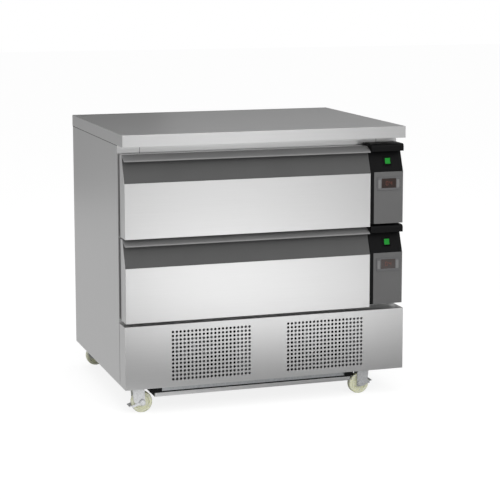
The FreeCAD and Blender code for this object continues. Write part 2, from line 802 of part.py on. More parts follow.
# Grip: a long extrusion with a leaning plate and a lip that hangs forward over the fingers
def make_grip(name, level):
    body = new_body()
    h = drawer_height
    g = d.grip_sheet
    root_drop = d.lip_thick + 2
    root_y = face + d.grip_lean * (d.grip_height - root_drop) / d.grip_height
    edge = d.lip_thick / 2
    outline = [
        (face + g, face_height),
        (face + d.grip_lean + g, h),
        (face + edge, h - d.lip_drop, edge, -1),
        (face, h - d.lip_drop - edge, edge, -1),
        (face + edge, h - d.lip_drop - d.lip_thick),
        (root_y, h - root_drop),
        (face, face_height),
    ]
    pad(body, sketch(body, "YZ_Plane", [outline], drawer_middle), drawer_width, both_ways=True)
    node(f"{name}_grip", place(body, 0, 0, drawer_floor + level))


# Inner door panel: a dished sheet that reaches a little into the compartment opening
def make_inner_panel(name, level):
    body = new_body()
    t = d.sheet
    h = drawer_height
    plate = rectangle(drawer_left + t, drawer_right - t, t, h - t)
    pad(body, sketch(body, "XZ_Plane", [plate], -door_back), t)
    x0 = opening_left + d.plug_play
    x1 = opening_right - d.plug_play
    z0 = d.opening_rise + d.plug_play
    z1 = opening_top - d.plug_play
    dish = rectangle(x0, x1, z0, z1)
    pad(body, sketch(body, "XZ_Plane", [dish], -door_back), d.plug_depth, turned=True)
    hollow = rectangle(x0 + t, x1 - t, z0 + t, z1 - t)
    start = sketch(body, "XZ_Plane", [hollow], -(door_back - t))
    pocket(body, start, d.plug_depth, turned=False)
    node(f"{name}_inner_panel", place(body, 0, 0, drawer_floor + level))


# Gasket: the magnetic seal between drawer front and cabinet, with a hollow rib
def make_gasket(name, level):
    body = new_body()
    h = drawer_height
    i = d.gasket_inset
    w = d.gasket_inset + d.gasket_width
    outer = rectangle(drawer_left + i, drawer_right - i, i, h - i)
    inner = rectangle(drawer_left + w, drawer_right - w, w, h - w)
    thick = cabinet_front - door_back - d.gasket_gap
    pad(body, sketch(body, "XZ_Plane", [outer, inner], -door_back), thick, turned=True)
    node(f"{name}_gasket", place(body, 0, 0, drawer_floor + level))


rails_left = opening_left
rails_right = opening_right + d.rail_side
box_x0 = rails_left + d.rail_depth
box_x1 = rails_right - d.rail_depth
box_y0 = door_back + d.plug_depth
box_y1 = liner_back - d.rail_end
box_z0 = d.opening_rise + d.box_rise
box_height = opening_height - d.box_rise - d.box_head
rail_length = box_y1 - box_y0


# Drawer box: a folded tray with air slots in its bottom, sized for a double-size food pan
def make_drawer_box(name, level):
    body = new_body()
    t = d.box_sheet
    pad(body, sketch(body, "XY_Plane", [rectangle(box_x0, box_x1, box_y0, box_y1)], box_z0), box_height)
    inside = rectangle(box_x0 + t, box_x1 - t, box_y0 + t, box_y1 - t)
    top = box_z0 + box_height
    pocket(body, sketch(body, "XY_Plane", [inside], top), box_height - t)
    first_y = box_y0 + d.slot_end
    pitch = (rail_length - d.slot_end * 2) / (d.slot_count - 1)
    slot = rectangle(
        box_x0 + d.slot_side,
        box_x1 - d.slot_side,
        first_y - d.slot_width / 2,
        first_y + d.slot_width / 2,
    )
    feature = pocket(body, sketch(body, "XY_Plane", [slot], box_z0), t * 2, turned=True)
    row_of(body, feature, "V_Axis", pitch, d.slot_count)
    node(f"{name}_drawer_box", place(body, 0, 0, drawer_floor + level))


def channel(open_x, web_x, wall, low, high):
    """A C-shaped bar seen along Y: the web stands at web_x and the legs reach to open_x."""
    way = 1 if web_x.value < open_x.value else -1
    inner = web_x + wall * way
    outline = [
        (web_x, low),
        (open_x, low),
        (open_x, low + wall),
        (inner, low + wall),
        (inner, high - wall),
        (open_x, high - wall),
        (open_x, high),
        (web_x, high),
    ]
    body = new_body()
    pad(body, sketch(body, "XZ_Plane", [outline], -box_y0), rail_length, turned=True)
    return body


# Telescopic rails: fixed, middle and inner channels nested in each other on both sides of a drawer
def make_rails():
    fixed = []
    low = box_z0 + d.rail_rise
    high = low + d.rail_height
    wall = d.rail_wall
    play = d.rail_play
    for name, level in LEVELS.items():
        middle = []
        inner = []
        for start, way in ((rails_left, 1), (rails_right, -1)):
            side = start + (d.rail_depth - play) * way
            fixed.append(channel(side, start, wall, low, high))
            place(fixed[-1], 0, 0, drawer_floor + level)
            step = wall + play
            middle.append(channel(side - play * way, start + step * way, wall, low + step, high - step))
            inner_web = start + d.rail_depth * way
            inner_low = low + step * 2
            inner_high = high - step * 2
            inner.append(channel(start + step * 2 * way, inner_web, wall, inner_low, inner_high))
        node(f"{name}_middle_rails", place(group(*middle), 0, 0, drawer_floor + level))
        node(f"{name}_inner_rails", place(group(*inner), 0, 0, drawer_floor + level))
    node("outer_rails", group(*fixed))


column_face_top = face_height + d.column_step
hood_low = column_face_top + d.hood_rise
hood_top = hood_low + d.hood_height
column_face = face + d.fascia_thick
lean_back = column_face + d.grip_lean * d.hood_rise / d.grip_height
lean_angle = math.degrees(math.atan2(d.grip_lean.value, d.grip_height.value))
fascia_x0 = column_x0 + d.fascia_inset
fascia_middle = (fascia_x0 + column_x1) / 2


def on_lean(item, x, along, out, turn=0):
    """Puts an object on the column's leaning face: along it from its lower edge, and out from it."""
    share = math.radians(lean_angle)
    lean = FreeCAD.Rotation(Vector(1, 0, 0), -lean_angle + turn)
    item.Placement = FreeCAD.Placement(Vector(0, 0, 0), lean)
    y = column_face + along * math.sin(share) - out * math.cos(share)
    z = column_face_top + along * math.cos(share) + out * math.sin(share)
    bind(item, Placement__Base__x=x, Placement__Base__y=y, Placement__Base__z=z)
    return item


switch_along = d.hood_rise / 2 + d.switch_rise
bezel_outer = d.switch_length / 2 + d.rocker_play + d.switch_frame
bezel_side = d.switch_width / 2 + d.key_play + d.switch_frame
bezel_middle = column_face_top - d.bezel_drop - d.bezel_height / 2
key_middle = d.window_width / 2 + d.key_gap + d.key_width / 2


def switch_block(half_x, half_z, y0, y1):
    """A block centred on the switch, before it is put on the leaning face."""
    return box(-half_x, half_x, y0, y1, -half_z, half_z)


# Control housing: a hollow moulding with the drawer's profile and a hood over the switch
def make_control_housing(name, level):
    body = new_body()
    w = d.column_wall
    r = d.hood_radius
    low = d.column_rise
    width = d.column_width
    middle = column_x0 + width / 2
    outline = [
        (cabinet_front, low),
        (cabinet_front, hood_top),
        (front + r, hood_top, r, -1),
        (front, hood_top - r),
        (front, hood_low - 1),
        (front + d.hood_tongue, hood_low - 1),
        (lean_back, hood_low),
        (column_face, column_face_top),
        (column_face, low),
    ]
    pad(body, sketch(body, "YZ_Plane", [outline], middle), width, both_ways=True)
    soften(
        body,
        d.hood_round,
        lambda p: near(p.z, hood_top) and (near(p.x, column_x0) or near(p.x, column_x1)),
    )
    inside = [
        (cabinet_front, low + w),
        (cabinet_front, hood_top - w),
        (lean_back + w, hood_top - w),
        (lean_back + w, hood_low),
        (column_face + w, column_face_top),
        (column_face + w, low + w),
    ]
    pocket(body, sketch(body, "YZ_Plane", [inside], middle), width - w * 2, both_ways=True)
    hole_x = d.case_width / 2 + d.key_play
    hole_z = d.case_height / 2 + d.key_play
    case = rectangle(
        fascia_middle - hole_x,
        fascia_middle + hole_x,
        bezel_middle - hole_z,
        bezel_middle + hole_z,
    )
    pocket(body, sketch(body, "XZ_Plane", [case], -column_face), w * 2)
    seat = group(switch_block(bezel_side - 1, bezel_outer - 1, as_size(-1), w * 3))
    on_lean(seat, fascia_middle, switch_along, as_size(0))
    item = place(cut(body, seat), 0, 0, drawer_floor + level)
    node(f"{name}_control_housing", item)


# Face plate: the grey sheet on the column, cut out for the thermostat
def make_fascias():
    plates = []
    for level in LEVELS.values():
        body = new_body()
        hole_x = d.case_width / 2 + d.key_play
        hole_z = d.case_height / 2 + d.key_play
        plate = rectangle(fascia_x0, column_x1, d.column_rise, column_face_top)
        hole = rectangle(
            fascia_middle - hole_x,
            fascia_middle + hole_x,
            bezel_middle - hole_z,
            bezel_middle + hole_z,
        )
        pad(body, sketch(body, "XZ_Plane", [plate, hole], -column_face), d.fascia_thick)
        plates.append(place(body, 0, 0, drawer_floor + level))
    node("control_fascias", group(*plates))


# Thermostat: a case behind the plate and a thin front with recesses for window and keys
def make_thermostats():
    cases = []
    for level in LEVELS.values():
        body = new_body()
        x = fascia_middle
        z = bezel_middle
        back_of_front = -face
        plate = rectangle(
            x - d.bezel_width / 2,
            x + d.bezel_width / 2,
            z - d.bezel_height / 2,
            z + d.bezel_height / 2,
        )
        case = rectangle(
            x - d.case_width / 2,
            x + d.case_width / 2,
            z - d.case_height / 2,
            z + d.case_height / 2,
        )
        pad(body, sketch(body, "XZ_Plane", [plate], back_of_front), d.bezel_thick)
        pad(body, sketch(body, "XZ_Plane", [case], back_of_front), d.case_depth, turned=True)
        window = rectangle(
            x - d.window_width / 2,
            x + d.window_width / 2,
            z + d.window_lift - d.window_height / 2,
            z + d.window_lift + d.window_height / 2,
        )
        front_plane = back_of_front + d.bezel_thick
        pocket(body, sketch(body, "XZ_Plane", [window], front_plane), d.window_thick)
        wells = []
        for way in (-1, 1):
            key_x = x + key_middle * way
            half = d.key_width / 2 + d.key_play
            rise = d.key_height / 2 + d.key_play
            wells.append(rectangle(key_x - half, key_x + half, z - rise, z + rise))
        well_depth = d.key_thick + d.key_travel + d.key_floor
        pocket(body, sketch(body, "XZ_Plane", wells, front_plane), well_depth)
        cases.append(place(body, 0, 0, drawer_floor + level))
    node("thermostats", group(*cases))


# Display windows: dark clear plates in the thermostat fronts
def make_windows():
    plates = []
    for level in LEVELS.values():
        z = bezel_middle + d.window_lift + drawer_floor + level
        plates.append(
            box(
                fascia_middle - d.window_width / 2,
                fascia_middle + d.window_width / 2,
                face - d.bezel_thick,
                face - d.bezel_thick + d.window_thick,
                z - d.window_height / 2,
                z + d.window_height / 2,
            )
        )
    node("display_windows", group(*plates))


# Keys: one strip on each side of a display window, pressed in by half a millimetre
def make_keys():
    for name, level in LEVELS.items():
        for side, way in (("left", -1), ("right", 1)):
            x = fascia_middle + key_middle * way
            outline = rectangle(
                x - d.key_width / 2,
                x + d.key_width / 2,
                bezel_middle - d.key_height / 2,
                bezel_middle + d.key_height / 2,
            )
            body = new_body()
            key_back = -(face - d.bezel_thick + d.key_thick)
            pad(body, sketch(body, "XZ_Plane", [outline], key_back), d.key_thick)
            node(f"{name}_{side}_key", place(body, 0, 0, drawer_floor + level))


# Switch bezels: black frames on the leaning face with the switch case behind
def make_switch_bezels():
    frames = []
    opening_x = d.switch_width / 2 + d.key_play
    opening_z = d.switch_length / 2 + d.rocker_play
    for level in LEVELS.values():
        rim = switch_block(bezel_side, bezel_outer, -d.switch_proud, as_size(0))
        step = d.switch_step
        case = switch_block(bezel_side - step, bezel_outer - step, as_size(0), d.switch_depth)
        well = switch_block(opening_x, opening_z, -d.switch_proud - 1, d.switch_depth - d.switch_wall)
        frame = on_lean(cut(fuse(rim, case), well), fascia_middle, switch_along, as_size(0))
        frames.append(place_above(frame, drawer_floor + level))
    node("switch_bezels", group(*frames))


# Rocker: two faces that meet in a shallow valley, turned about a pin inside its case
def make_rocker(name, level):
    body = new_body()
    half = d.switch_length / 2
    tilt = math.tan(math.radians(d.rocker_angle.value))
    crown = d.rocker_pivot + d.switch_proud
    outline = [
        (-(crown + half * tilt), half),
        (-crown, as_size(0)),
        (-(crown + half * tilt), -half),
        (as_size(1), -half * ROCKER_FOOT),
        (d.rocker_back, as_size(0)),
        (as_size(1), half * ROCKER_FOOT),
    ]
    pad(body, sketch(body, "YZ_Plane", [outline]), d.switch_width, both_ways=True)
    on_lean(body, fascia_middle, switch_along, -d.rocker_pivot, turn=d.rocker_angle.value)
    node(f"{name}_power_switch", place_above(body, drawer_floor + level))


def place_above(item, rise):
    """Lifts an already placed object, keeping its turn."""
    holder = doc.addObject("Part::Compound", "lifted")
    holder.Links = [item]
    bind(holder, Placement__Base__z=rise)
    return holder


# Castor mounts: the upper race with its king pin below and its threaded stud and nut above
def make_castor_mounts():
    mounts = []
    race_low = d.fork_top + d.race_step + d.race_gap
    pin_low = d.fork_top - d.crown_thick - d.king_drop
    stud_top = chassis_top + d.stud_rise
    outline = [
        (as_size(0), pin_low),
        (d.king_radius, pin_low),
        (d.king_radius, race_low),
        (d.race_radius, race_low),
        (d.race_radius, d.castor_height),
        (d.king_radius, d.castor_height),
        (d.king_radius, stud_top),
        (as_size(0), stud_top),
    ]
    for _, x, y, turn in castor_places():
        body = new_body()
        revolve(body, sketch(body, "XZ_Plane", [outline]), "V_Axis")
        nut = hexagon(d.nut_radius, d.nut_height, as_size(0), as_size(0), chassis_top, "z")
        mounts.append(place(fuse(body, nut), x, y, 0, turn))
    node("castor_mounts", group(*mounts))


# Castor fork: pressed sheet with two tapering legs, a lower race and the axle bolt
def make_castor_fork(name, x, y, turn):
    body = new_body()
    trail = d.castor_trail
    r = d.wheel_radius
    boss = d.fork_boss
    shoulder = d.fork_top - d.fork_shoulder
    outline = [
        (-d.fork_front, d.fork_top),
        (-d.fork_front, shoulder),
        (trail - boss, r, boss, -1),
        (trail, r - boss, boss, -1),
        (trail + boss, r),
        (d.fork_rear, shoulder),
        (d.fork_rear, d.fork_top),
    ]
    span = d.fork_gap + d.fork_wall * 2
    pad(body, sketch(body, "XZ_Plane", [outline]), span, both_ways=True)
    half = d.fork_gap / 2
    slot = rectangle(-half, half, as_size(0), d.fork_top - d.crown_thick)
    pocket(body, sketch(body, "YZ_Plane", [slot]), (trail + boss + d.fork_rear) * 2, both_ways=True)
    ring = [("circle", as_size(0), as_size(0), d.race_radius - d.race_inset)]
    pad(body, sketch(body, "XY_Plane", ring, d.fork_top), d.race_step)
    king = [("circle", as_size(0), as_size(0), d.king_radius + d.pin_play)]
    king_top = d.fork_top + d.race_step
    pocket(body, sketch(body, "XY_Plane", king, king_top), d.race_step + d.crown_thick * 2)
    axle_hole = [("circle", trail, r, d.axle_radius)]
    pocket(body, sketch(body, "XZ_Plane", axle_hole), span * 2, both_ways=True)
    reach = span / 2 + d.pedal_play + d.pedal_wall + d.pedal_play
    bolt = cylinder(d.axle_radius, reach * 2, trail, -reach, r, "y")
    head = hexagon(d.bolt_radius, d.bolt_head, trail, -(reach + d.bolt_head), r, "y")
    nut = hexagon(d.bolt_radius, d.bolt_head, trail, reach, r, "y")
    node(f"{name}_castor_fork", place(group(body, fuse(bolt, head, nut)), x, y, 0, turn))


def hexagon(radius, length, x, y, z, axis):
    """A hexagonal prism that starts at a point and runs along an axis."""
    item = doc.addObject("Part::Prism", "hexagon")
    item.Polygon = 6
    bind(item, Circumradius=radius, Height=length)
    item.Placement = FreeCAD.Placement(Vector(0, 0, 0), FreeCAD.Rotation(*AXES[axis]))
    bind(item, Placement__Base__x=x, Placement__Base__y=y, Placement__Base__z=z)
    return item


# Castor wheel: a cast disc with rounded-off tread edges and a hub that stands out on both sides
def make_castor_wheel(name, x, y, turn):
    body = new_body()
    r = d.wheel_radius
    w = d.wheel_width / 2
    hub = d.hub_width / 2
    edge = d.tread_edge
    bore = d.axle_radius + d.pin_play
    outline = [
        (-hub, bore),
        (hub, bore),
        (hub, d.hub_radius),
        (w, d.hub_radius),
        (w, r - edge),
        (w - edge, r),
        (-(w - edge), r),
        (-w, r - edge),
        (-w, d.hub_radius),
        (-hub, d.hub_radius),
    ]
    revolve(body, sketch(body, "YZ_Plane", [outline]), "H_Axis")
    way = 1 if turn == 0 else -1
    node(f"{name}_castor_wheel", place(body, x + d.castor_trail * way, y, r, turn))


# Brake pedal: two straps beside the fork, joined by a tread beyond the wheel
def make_brake_pedal(name, x, y, turn, tilt):
    inner = d.fork_gap / 2 + d.fork_wall + d.pedal_play
    outer = inner + d.pedal_wall
    body = new_body()
    boss = d.pedal_boss
    arm = d.pedal_arm
    reach = -d.pedal_reach
    outline = [
        (as_size(0), boss, boss, 1),
        (boss, as_size(0), boss, 1),
        (as_size(0), -boss),
        (reach, -arm),
        (reach, arm),
    ]
    pad(body, sketch(body, "XZ_Plane", [outline]), outer * 2, both_ways=True)
    slot = rectangle(-inner, inner, -boss * 2, boss * 2)
    start = sketch(body, "YZ_Plane", [slot], reach + d.pedal_tread)
    pocket(body, start, d.pedal_reach + boss * 2, turned=True)
    thin = rectangle(-outer, outer, -arm * 2, arm - d.pedal_wall)
    lower = sketch(body, "YZ_Plane", [thin], reach)
    pocket(body, lower, d.pedal_tread, turned=True)
    axle_hole = [("circle", as_size(0), as_size(0), d.axle_radius + d.pin_play)]
    pocket(body, sketch(body, "XZ_Plane", axle_hole), outer * 4, both_ways=True)
    body.Placement = FreeCAD.Placement(Vector(0, 0, 0), FreeCAD.Rotation(Vector(0, 1, 0), -tilt))
    way = 1 if turn == 0 else -1
    holder = group(body)
    node(f"{name}_brake_pedal", place(holder, x + d.castor_trail * way, y, d.wheel_radius, turn))


def make_castors():
    make_castor_mounts()
    for name, x, y, turn in castor_places():
        make_castor_fork(name, x, y, turn)
        make_castor_wheel(name, x, y, turn)
    pedals = [place_of for place_of in castor_places() if place_of[0].startswith("front")]
    for (name, x, y, turn), tilt in zip(pedals, (PEDAL_DOWN, PEDAL_UP)):
        make_brake_pedal(name, x, y, turn, tilt)


# Compressors: domed steel shells with a foot plate on four rubber feet and a terminal box
def make_compressors():
    pieces = []
    r = d.compressor_radius
    h = d.compressor_height
    dome = d.dome_radius
    half = r + d.foot_margin
    bolt = half - d.foot_inset
    outline = [
        (as_size(0), as_size(0)),
        (r - d.shell_taper, as_size(0)),
        (r, d.shell_foot),
        (r, h - dome),
        (r - dome * DOME_CUT, h - dome * DOME_CUT),
        (r - dome, h),
        (as_size(0), h),
    ]
    for x in CIRCUITS.values():
        shell = new_body()
        revolve(shell, sketch(shell, "XZ_Plane", [outline]), "V_Axis")
        plate = box(-half, half, -half, half, -d.foot_plate, as_size(0))
        low = d.terminal_rise
        side = d.terminal_width / 2
        terminal = box(-side, side, -(r + d.terminal_depth), -r / 2, low, low + d.terminal_height)
        body = fuse(shell, plate, terminal)
        pieces.append(place(body, x, compressor_y, chassis_top + d.foot_height))
        for i in (-1, 1):
            for j in (-1, 1):
                pieces.append(rubber_foot(x + bolt * i, compressor_y + bolt * j))
    node("compressors", group(*pieces))


def rubber_foot(x, y):
    """A rubber block under a corner of the foot plate."""
    half = d.foot_size / 2
    top = chassis_top + d.foot_height - d.foot_plate
    return box(x - half, x + half, y - half, y + half, chassis_top, top)


def row_along(body, feature, pitch, count, turned=False):
    """Repeats a feature along its sketch's normal."""
    doc.recompute()
    item = body.newObject("PartDesign::LinearPattern", "row")
    item.Originals = [feature]
    item.Direction = (feature.Profile[0], ["N_Axis"])
    item.Reversed = turned
    item.Mode = "Spacing"
    bind(item, Offset=pitch, Occurrences=count)
    body.Tip = item


def tube_heights(coil):
    """Heights of the tubes above the foot of a coil."""
    rows = int(d.tube_rows.value)
    return [coil * (row * 2 + 1) / (rows * 2) for row in range(rows)]


# Condensers: rows of fins on tubes, behind the vent fields
def make_condensers():
    pieces = []
    half = d.condenser_width / 2
    pitch = (d.condenser_width - d.fin_thick) / (d.fin_count - 1)
    middle = d.condenser_depth / 2
    side = d.tube_size / 2
    reach = half + d.tube_end
    for x in CIRCUITS.values():
        body = new_body()
        fin = rectangle(as_size(0), d.condenser_depth, as_size(0), d.condenser_height)
        feature = pad(body, sketch(body, "YZ_Plane", [fin], -half), d.fin_thick)
        row_along(body, feature, pitch, d.fin_count)
        tubes = [
            box(-reach, reach, middle - side, middle + side, z - side, z + side)
            for z in tube_heights(d.condenser_height)
        ]
        pieces.append(place(fuse(body, *tubes), x, condenser_y, chassis_top))
    node("condensers", group(*pieces))


def rotor(hub, radius, depth, bore):
    """Flat pitched blades on a bored hub that lies along Y, from 0 to depth."""
    parts = [cylinder(hub, depth, as_size(0), as_size(0), as_size(0), "y")]
    count = int(d.blade_count.value)
    root = d.blade_root / 2
    tip = radius * BLADE_TIP
    half = d.blade_thick / 2
    for number in range(count):
        blade = doc.addObject("Part::Wedge", "blade")
        bind(blade, Xmin=-root, Xmax=root, X2min=-tip, X2max=tip)
        bind(blade, Ymin=0, Ymax=radius - hub * BLADE_SEAT)
        bind(blade, Zmin=-half, Zmax=half, Z2min=-half, Z2max=half)
        turn = FreeCAD.Rotation(Vector(0, 1, 0), 360.0 * number / count)
        lift = FreeCAD.Rotation(Vector(1, 0, 0), 90)
        pitch = FreeCAD.Rotation(Vector(0, 0, 1), BLADE_PITCH)
        start = turn.multVec(Vector(0, 0, BLADE_SEAT))
        blade.Placement = FreeCAD.Placement(Vector(0, 0, 0), turn.multiply(pitch).multiply(lift))
        bind(
            blade,
            Placement__Base__x=hub * start.x,
            Placement__Base__y=depth / 2,
            Placement__Base__z=hub * start.z,
        )
        parts.append(blade)
    hole = cylinder(bore + d.pin_play, depth * 2, as_size(0), -depth / 2, as_size(0), "y")
    return cut(fuse(*parts), hole)


# Condenser fans: pitched blades on a bored hub
def make_condenser_fans():
    for side, x in CIRCUITS.items():
        fan = rotor(d.fan_hub, d.fan_radius, d.fan_depth, d.shaft_radius)
        node(f"{side}_condenser_fan", place(fan, x, fan_y, fan_z))


# Fan motors: a shroud plate on the condenser, a bracket and the motor with its shaft
def make_fan_motors():
    pieces = []
    half_x = d.condenser_width / 2
    half_z = d.condenser_height / 2
    start = condenser_y + d.condenser_depth
    shaft_y = fan_y - start + d.shaft_tip
    motor_y = fan_y - start + d.fan_depth + d.motor_gap
    bar_y = motor_y + d.motor_gap
    arm = d.arm_thick
    reach = d.fan_radius + d.fan_play + arm
    rise = d.arm_width / 2
    for x in CIRCUITS.values():
        body = new_body()
        plate = rectangle(-half_x, half_x, -half_z, half_z)
        ring = [("circle", as_size(0), as_size(0), d.fan_radius + d.fan_play)]
        pad(body, sketch(body, "XZ_Plane", [plate] + ring), d.shroud_sheet, turned=True)
        motor = cylinder(d.motor_radius, d.motor_length, as_size(0), motor_y, as_size(0), "y")
        shaft = cylinder(d.shaft_radius, motor_y - shaft_y + 1, as_size(0), shaft_y, as_size(0), "y")
        bar = box(-reach, reach, bar_y, bar_y + arm, -rise, rise)
        posts = [
            box(reach * way - arm, reach * way + arm, as_size(0), bar_y + arm, -rise, rise)
            for way in (-1, 1)
        ]
        pieces.append(place(fuse(body, motor, shaft, bar, *posts), x, start, fan_z))
    node("condenser_fan_motors", group(*pieces))


def compartment_middle(level):
    return drawer_floor + level + d.opening_rise + opening_height / 2


# Evaporators: finned coils on a shelf in the bay beside each compartment
def make_evaporators():
    coils = []
    half = coil_height / 2
    pitch = (coil_length - d.fin_thick) / (d.coil_fins - 1)
    middle = d.evaporator_width / 2
    side = d.tube_size / 2
    end = d.tube_end
    for level in LEVELS.values():
        body = new_body()
        fin = rectangle(as_size(0), d.evaporator_width, -half, half)
        feature = pad(body, sketch(body, "XZ_Plane", [fin]), d.fin_thick, turned=True)
        row_along(body, feature, pitch, d.coil_fins, turned=True)
        tubes = []
        for height in tube_heights(coil_height):
            z = height - half
            tubes.append(box(middle - side, middle + side, -end, coil_length + end, z - side, z + side))
        shelf_low = half - d.fin_thick
        shelf = box(as_size(0), bay_right - coil_x, as_size(0), coil_length, shelf_low, half)
        coils.append(place(fuse(body, shelf, *tubes), coil_x, coil_y, compartment_middle(level)))
    node("evaporators", group(*coils))


# Air ducts: the inner wall beside the drawer, with a fan ring, return slots and the motor's bracket
def make_air_ducts():
    ducts = []
    x0 = rails_right
    half = opening_height / 2
    first = liner_back - d.return_end
    top = half - d.return_drop
    arm = d.cold_arm_thick
    motor_x = x0 + d.cold_fan_gap + d.cold_fan_depth + d.cold_motor_gap
    shaft_x = x0 + d.cold_fan_gap
    reach = d.cold_fan_radius + d.cold_ring_play + arm * 2
    rise = d.cold_arm_width / 2
    low = cold_fan_z - rise
    high = cold_fan_z + rise
    for level in LEVELS.values():
        body = new_body()
        wall = rectangle(cabinet_front + d.sheet, liner_back, -half, half)
        ring = [("circle", cold_fan_y, cold_fan_z, d.cold_fan_radius + d.cold_ring_play)]
        pad(body, sketch(body, "YZ_Plane", [wall] + ring, x0), d.liner_sheet)
        vent = rectangle(first, first + d.return_width, top - d.return_height, top)
        feature = pocket(body, sketch(body, "YZ_Plane", [vent], x0), d.liner_sheet * 2, turned=True)
        row_of(body, feature, "H_Axis", d.return_pitch, d.return_count)
        motor = cylinder(
            d.cold_motor_radius, d.cold_motor_length, motor_x, cold_fan_y, cold_fan_z, "x"
        )
        shaft = cylinder(
            d.cold_shaft_radius, motor_x - shaft_x + 1, shaft_x, cold_fan_y, cold_fan_z, "x"
        )
        bar = box(
            motor_x + arm, motor_x + arm * 2, cold_fan_y - reach, cold_fan_y + reach, low, high
        )
        posts = []
        for way in (-1, 1):
            y = cold_fan_y + reach * way
            posts.append(box(x0, motor_x + arm * 2, y - arm, y + arm, low, high))
        ducts.append(place(fuse(body, motor, shaft, bar, *posts), 0, 0, compartment_middle(level)))
    node("air_ducts", group(*ducts))


# Evaporator fans: small rotors in the duct rings
def make_cold_fans():
    for name, level in LEVELS.items():
        fan = rotor(d.cold_fan_hub, d.cold_fan_radius, d.cold_fan_depth, d.cold_shaft_radius)
        fan.Placement = FreeCAD.Placement(Vector(0, 0, 0), FreeCAD.Rotation(Vector(0, 0, 1), -90))
        x = rails_right + d.cold_fan_gap
        z = compartment_middle(level) + cold_fan_z
        node(f"{name}_evaporator_fan", place(group(fan), x, cold_fan_y, z))


def pipe(points):
    """A round pipe along straight runs joined by bends."""
    corners = [Vector(*(as_size(value).value for value in point)) for point in points]
    radius = d.pipe_radius.value
    parts = []
    start = corners[0]
    for index in range(1, len(corners) - 1):
        before = corners[index - 1] - corners[index]
        after = corners[index + 1] - corners[index]
        trim = min(before.Length * 0.45, after.Length * 0.45, d.pipe_bend.value)
        half_turn = before.getAngle(after) / 2
        before.normalize()
        after.normalize()
        first = corners[index] + before * trim
        last = corners[index] + after * trim
        bisector = (before + after).normalize()
        centre = corners[index] + bisector * (trim / math.cos(half_turn))
        parts.append(Part.makeCylinder(radius, (first - start).Length, start, first - start))
        disc = Part.Face(Part.Wire(Part.makeCircle(radius, first, before)))
        hinge = (first - centre).cross(last - centre)
        parts.append(disc.revolve(centre, hinge, 180 - math.degrees(half_turn * 2)))
        start = last
    end = corners[-1]
    parts.append(Part.makeCylinder(radius, (end - start).Length, start, end - start))
    return parts[0].fuse(parts[1:]).removeSplitter() if len(parts) > 1 else parts[0]


# Refrigerant pipes: from each compressor to the top tube of its condenser, and up into the insulation
def make_pipes():
    solids = []
    shell_top = chassis_top + d.foot_height + d.compressor_height
    tube_z = chassis_top + tube_heights(d.condenser_height)[-1]
    tube_back = condenser_y + (d.condenser_depth + d.tube_size) / 2
    up_y = compressor_y + d.pipe_offset
    for x in CIRCUITS.values():
        shell_x = x + d.compressor_radius
        tube_x = x + d.condenser_width / 2 + d.tube_end - d.pipe_radius
        corner = (tube_x, compressor_y, tube_z)
        solids.append(pipe([(shell_x, compressor_y, tube_z), corner, (tube_x, tube_back, tube_z)]))
        up_x = x - d.pipe_offset
        solids.append(pipe([(up_x, up_y, shell_top), (up_x, up_y, machine_top)]))
    item = doc.addObject("Part::Feature", "pipes")
    item.Shape = Part.makeCompound(solids)
    node("refrigerant_pipes", item)


make_worktop()
make_side_panel("left_side_panel", cabinet_left, 1)
make_side_panel("right_side_panel", cabinet_right, -1)
make_back_panel()
make_cable_gland()
make_front_frame()
make_liners()
make_insulation()
make_ceiling()
make_chassis()
make_base_tray()
make_machine_cover()
for drawer, drawer_level in LEVELS.items():
    make_drawer_front(drawer, drawer_level)
    make_grip(drawer, drawer_level)
    make_inner_panel(drawer, drawer_level)
    make_gasket(drawer, drawer_level)
    make_drawer_box(drawer, drawer_level)
    make_control_housing(drawer, drawer_level)
    make_rocker(drawer, drawer_level)
make_rails()
make_fascias()
make_thermostats()
make_windows()
make_keys()
make_switch_bezels()
make_castors()
make_compressors()
make_condensers()
make_condenser_fans()
make_fan_motors()
make_evaporators()
make_air_ducts()
make_cold_fans()
make_pipes()
doc.recompute()

for item in doc.Objects:
    if {"Invalid", "Error"} & set(item.State):
        raise RuntimeError(f"{item.Name} {item.Label} failed: {item.State}")
for name, item in nodes.items():
    if item.Shape.isNull() or not item.Shape.isValid() or not item.Shape.Solids:
        raise RuntimeError(f"{name} has no valid solid")

os.makedirs("parts", exist_ok=True)
for name, item in nodes.items():
    item.Shape.exportStep(f"parts/{name}.step")
print(len(nodes), "sub-parts written")
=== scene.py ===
import json
import math

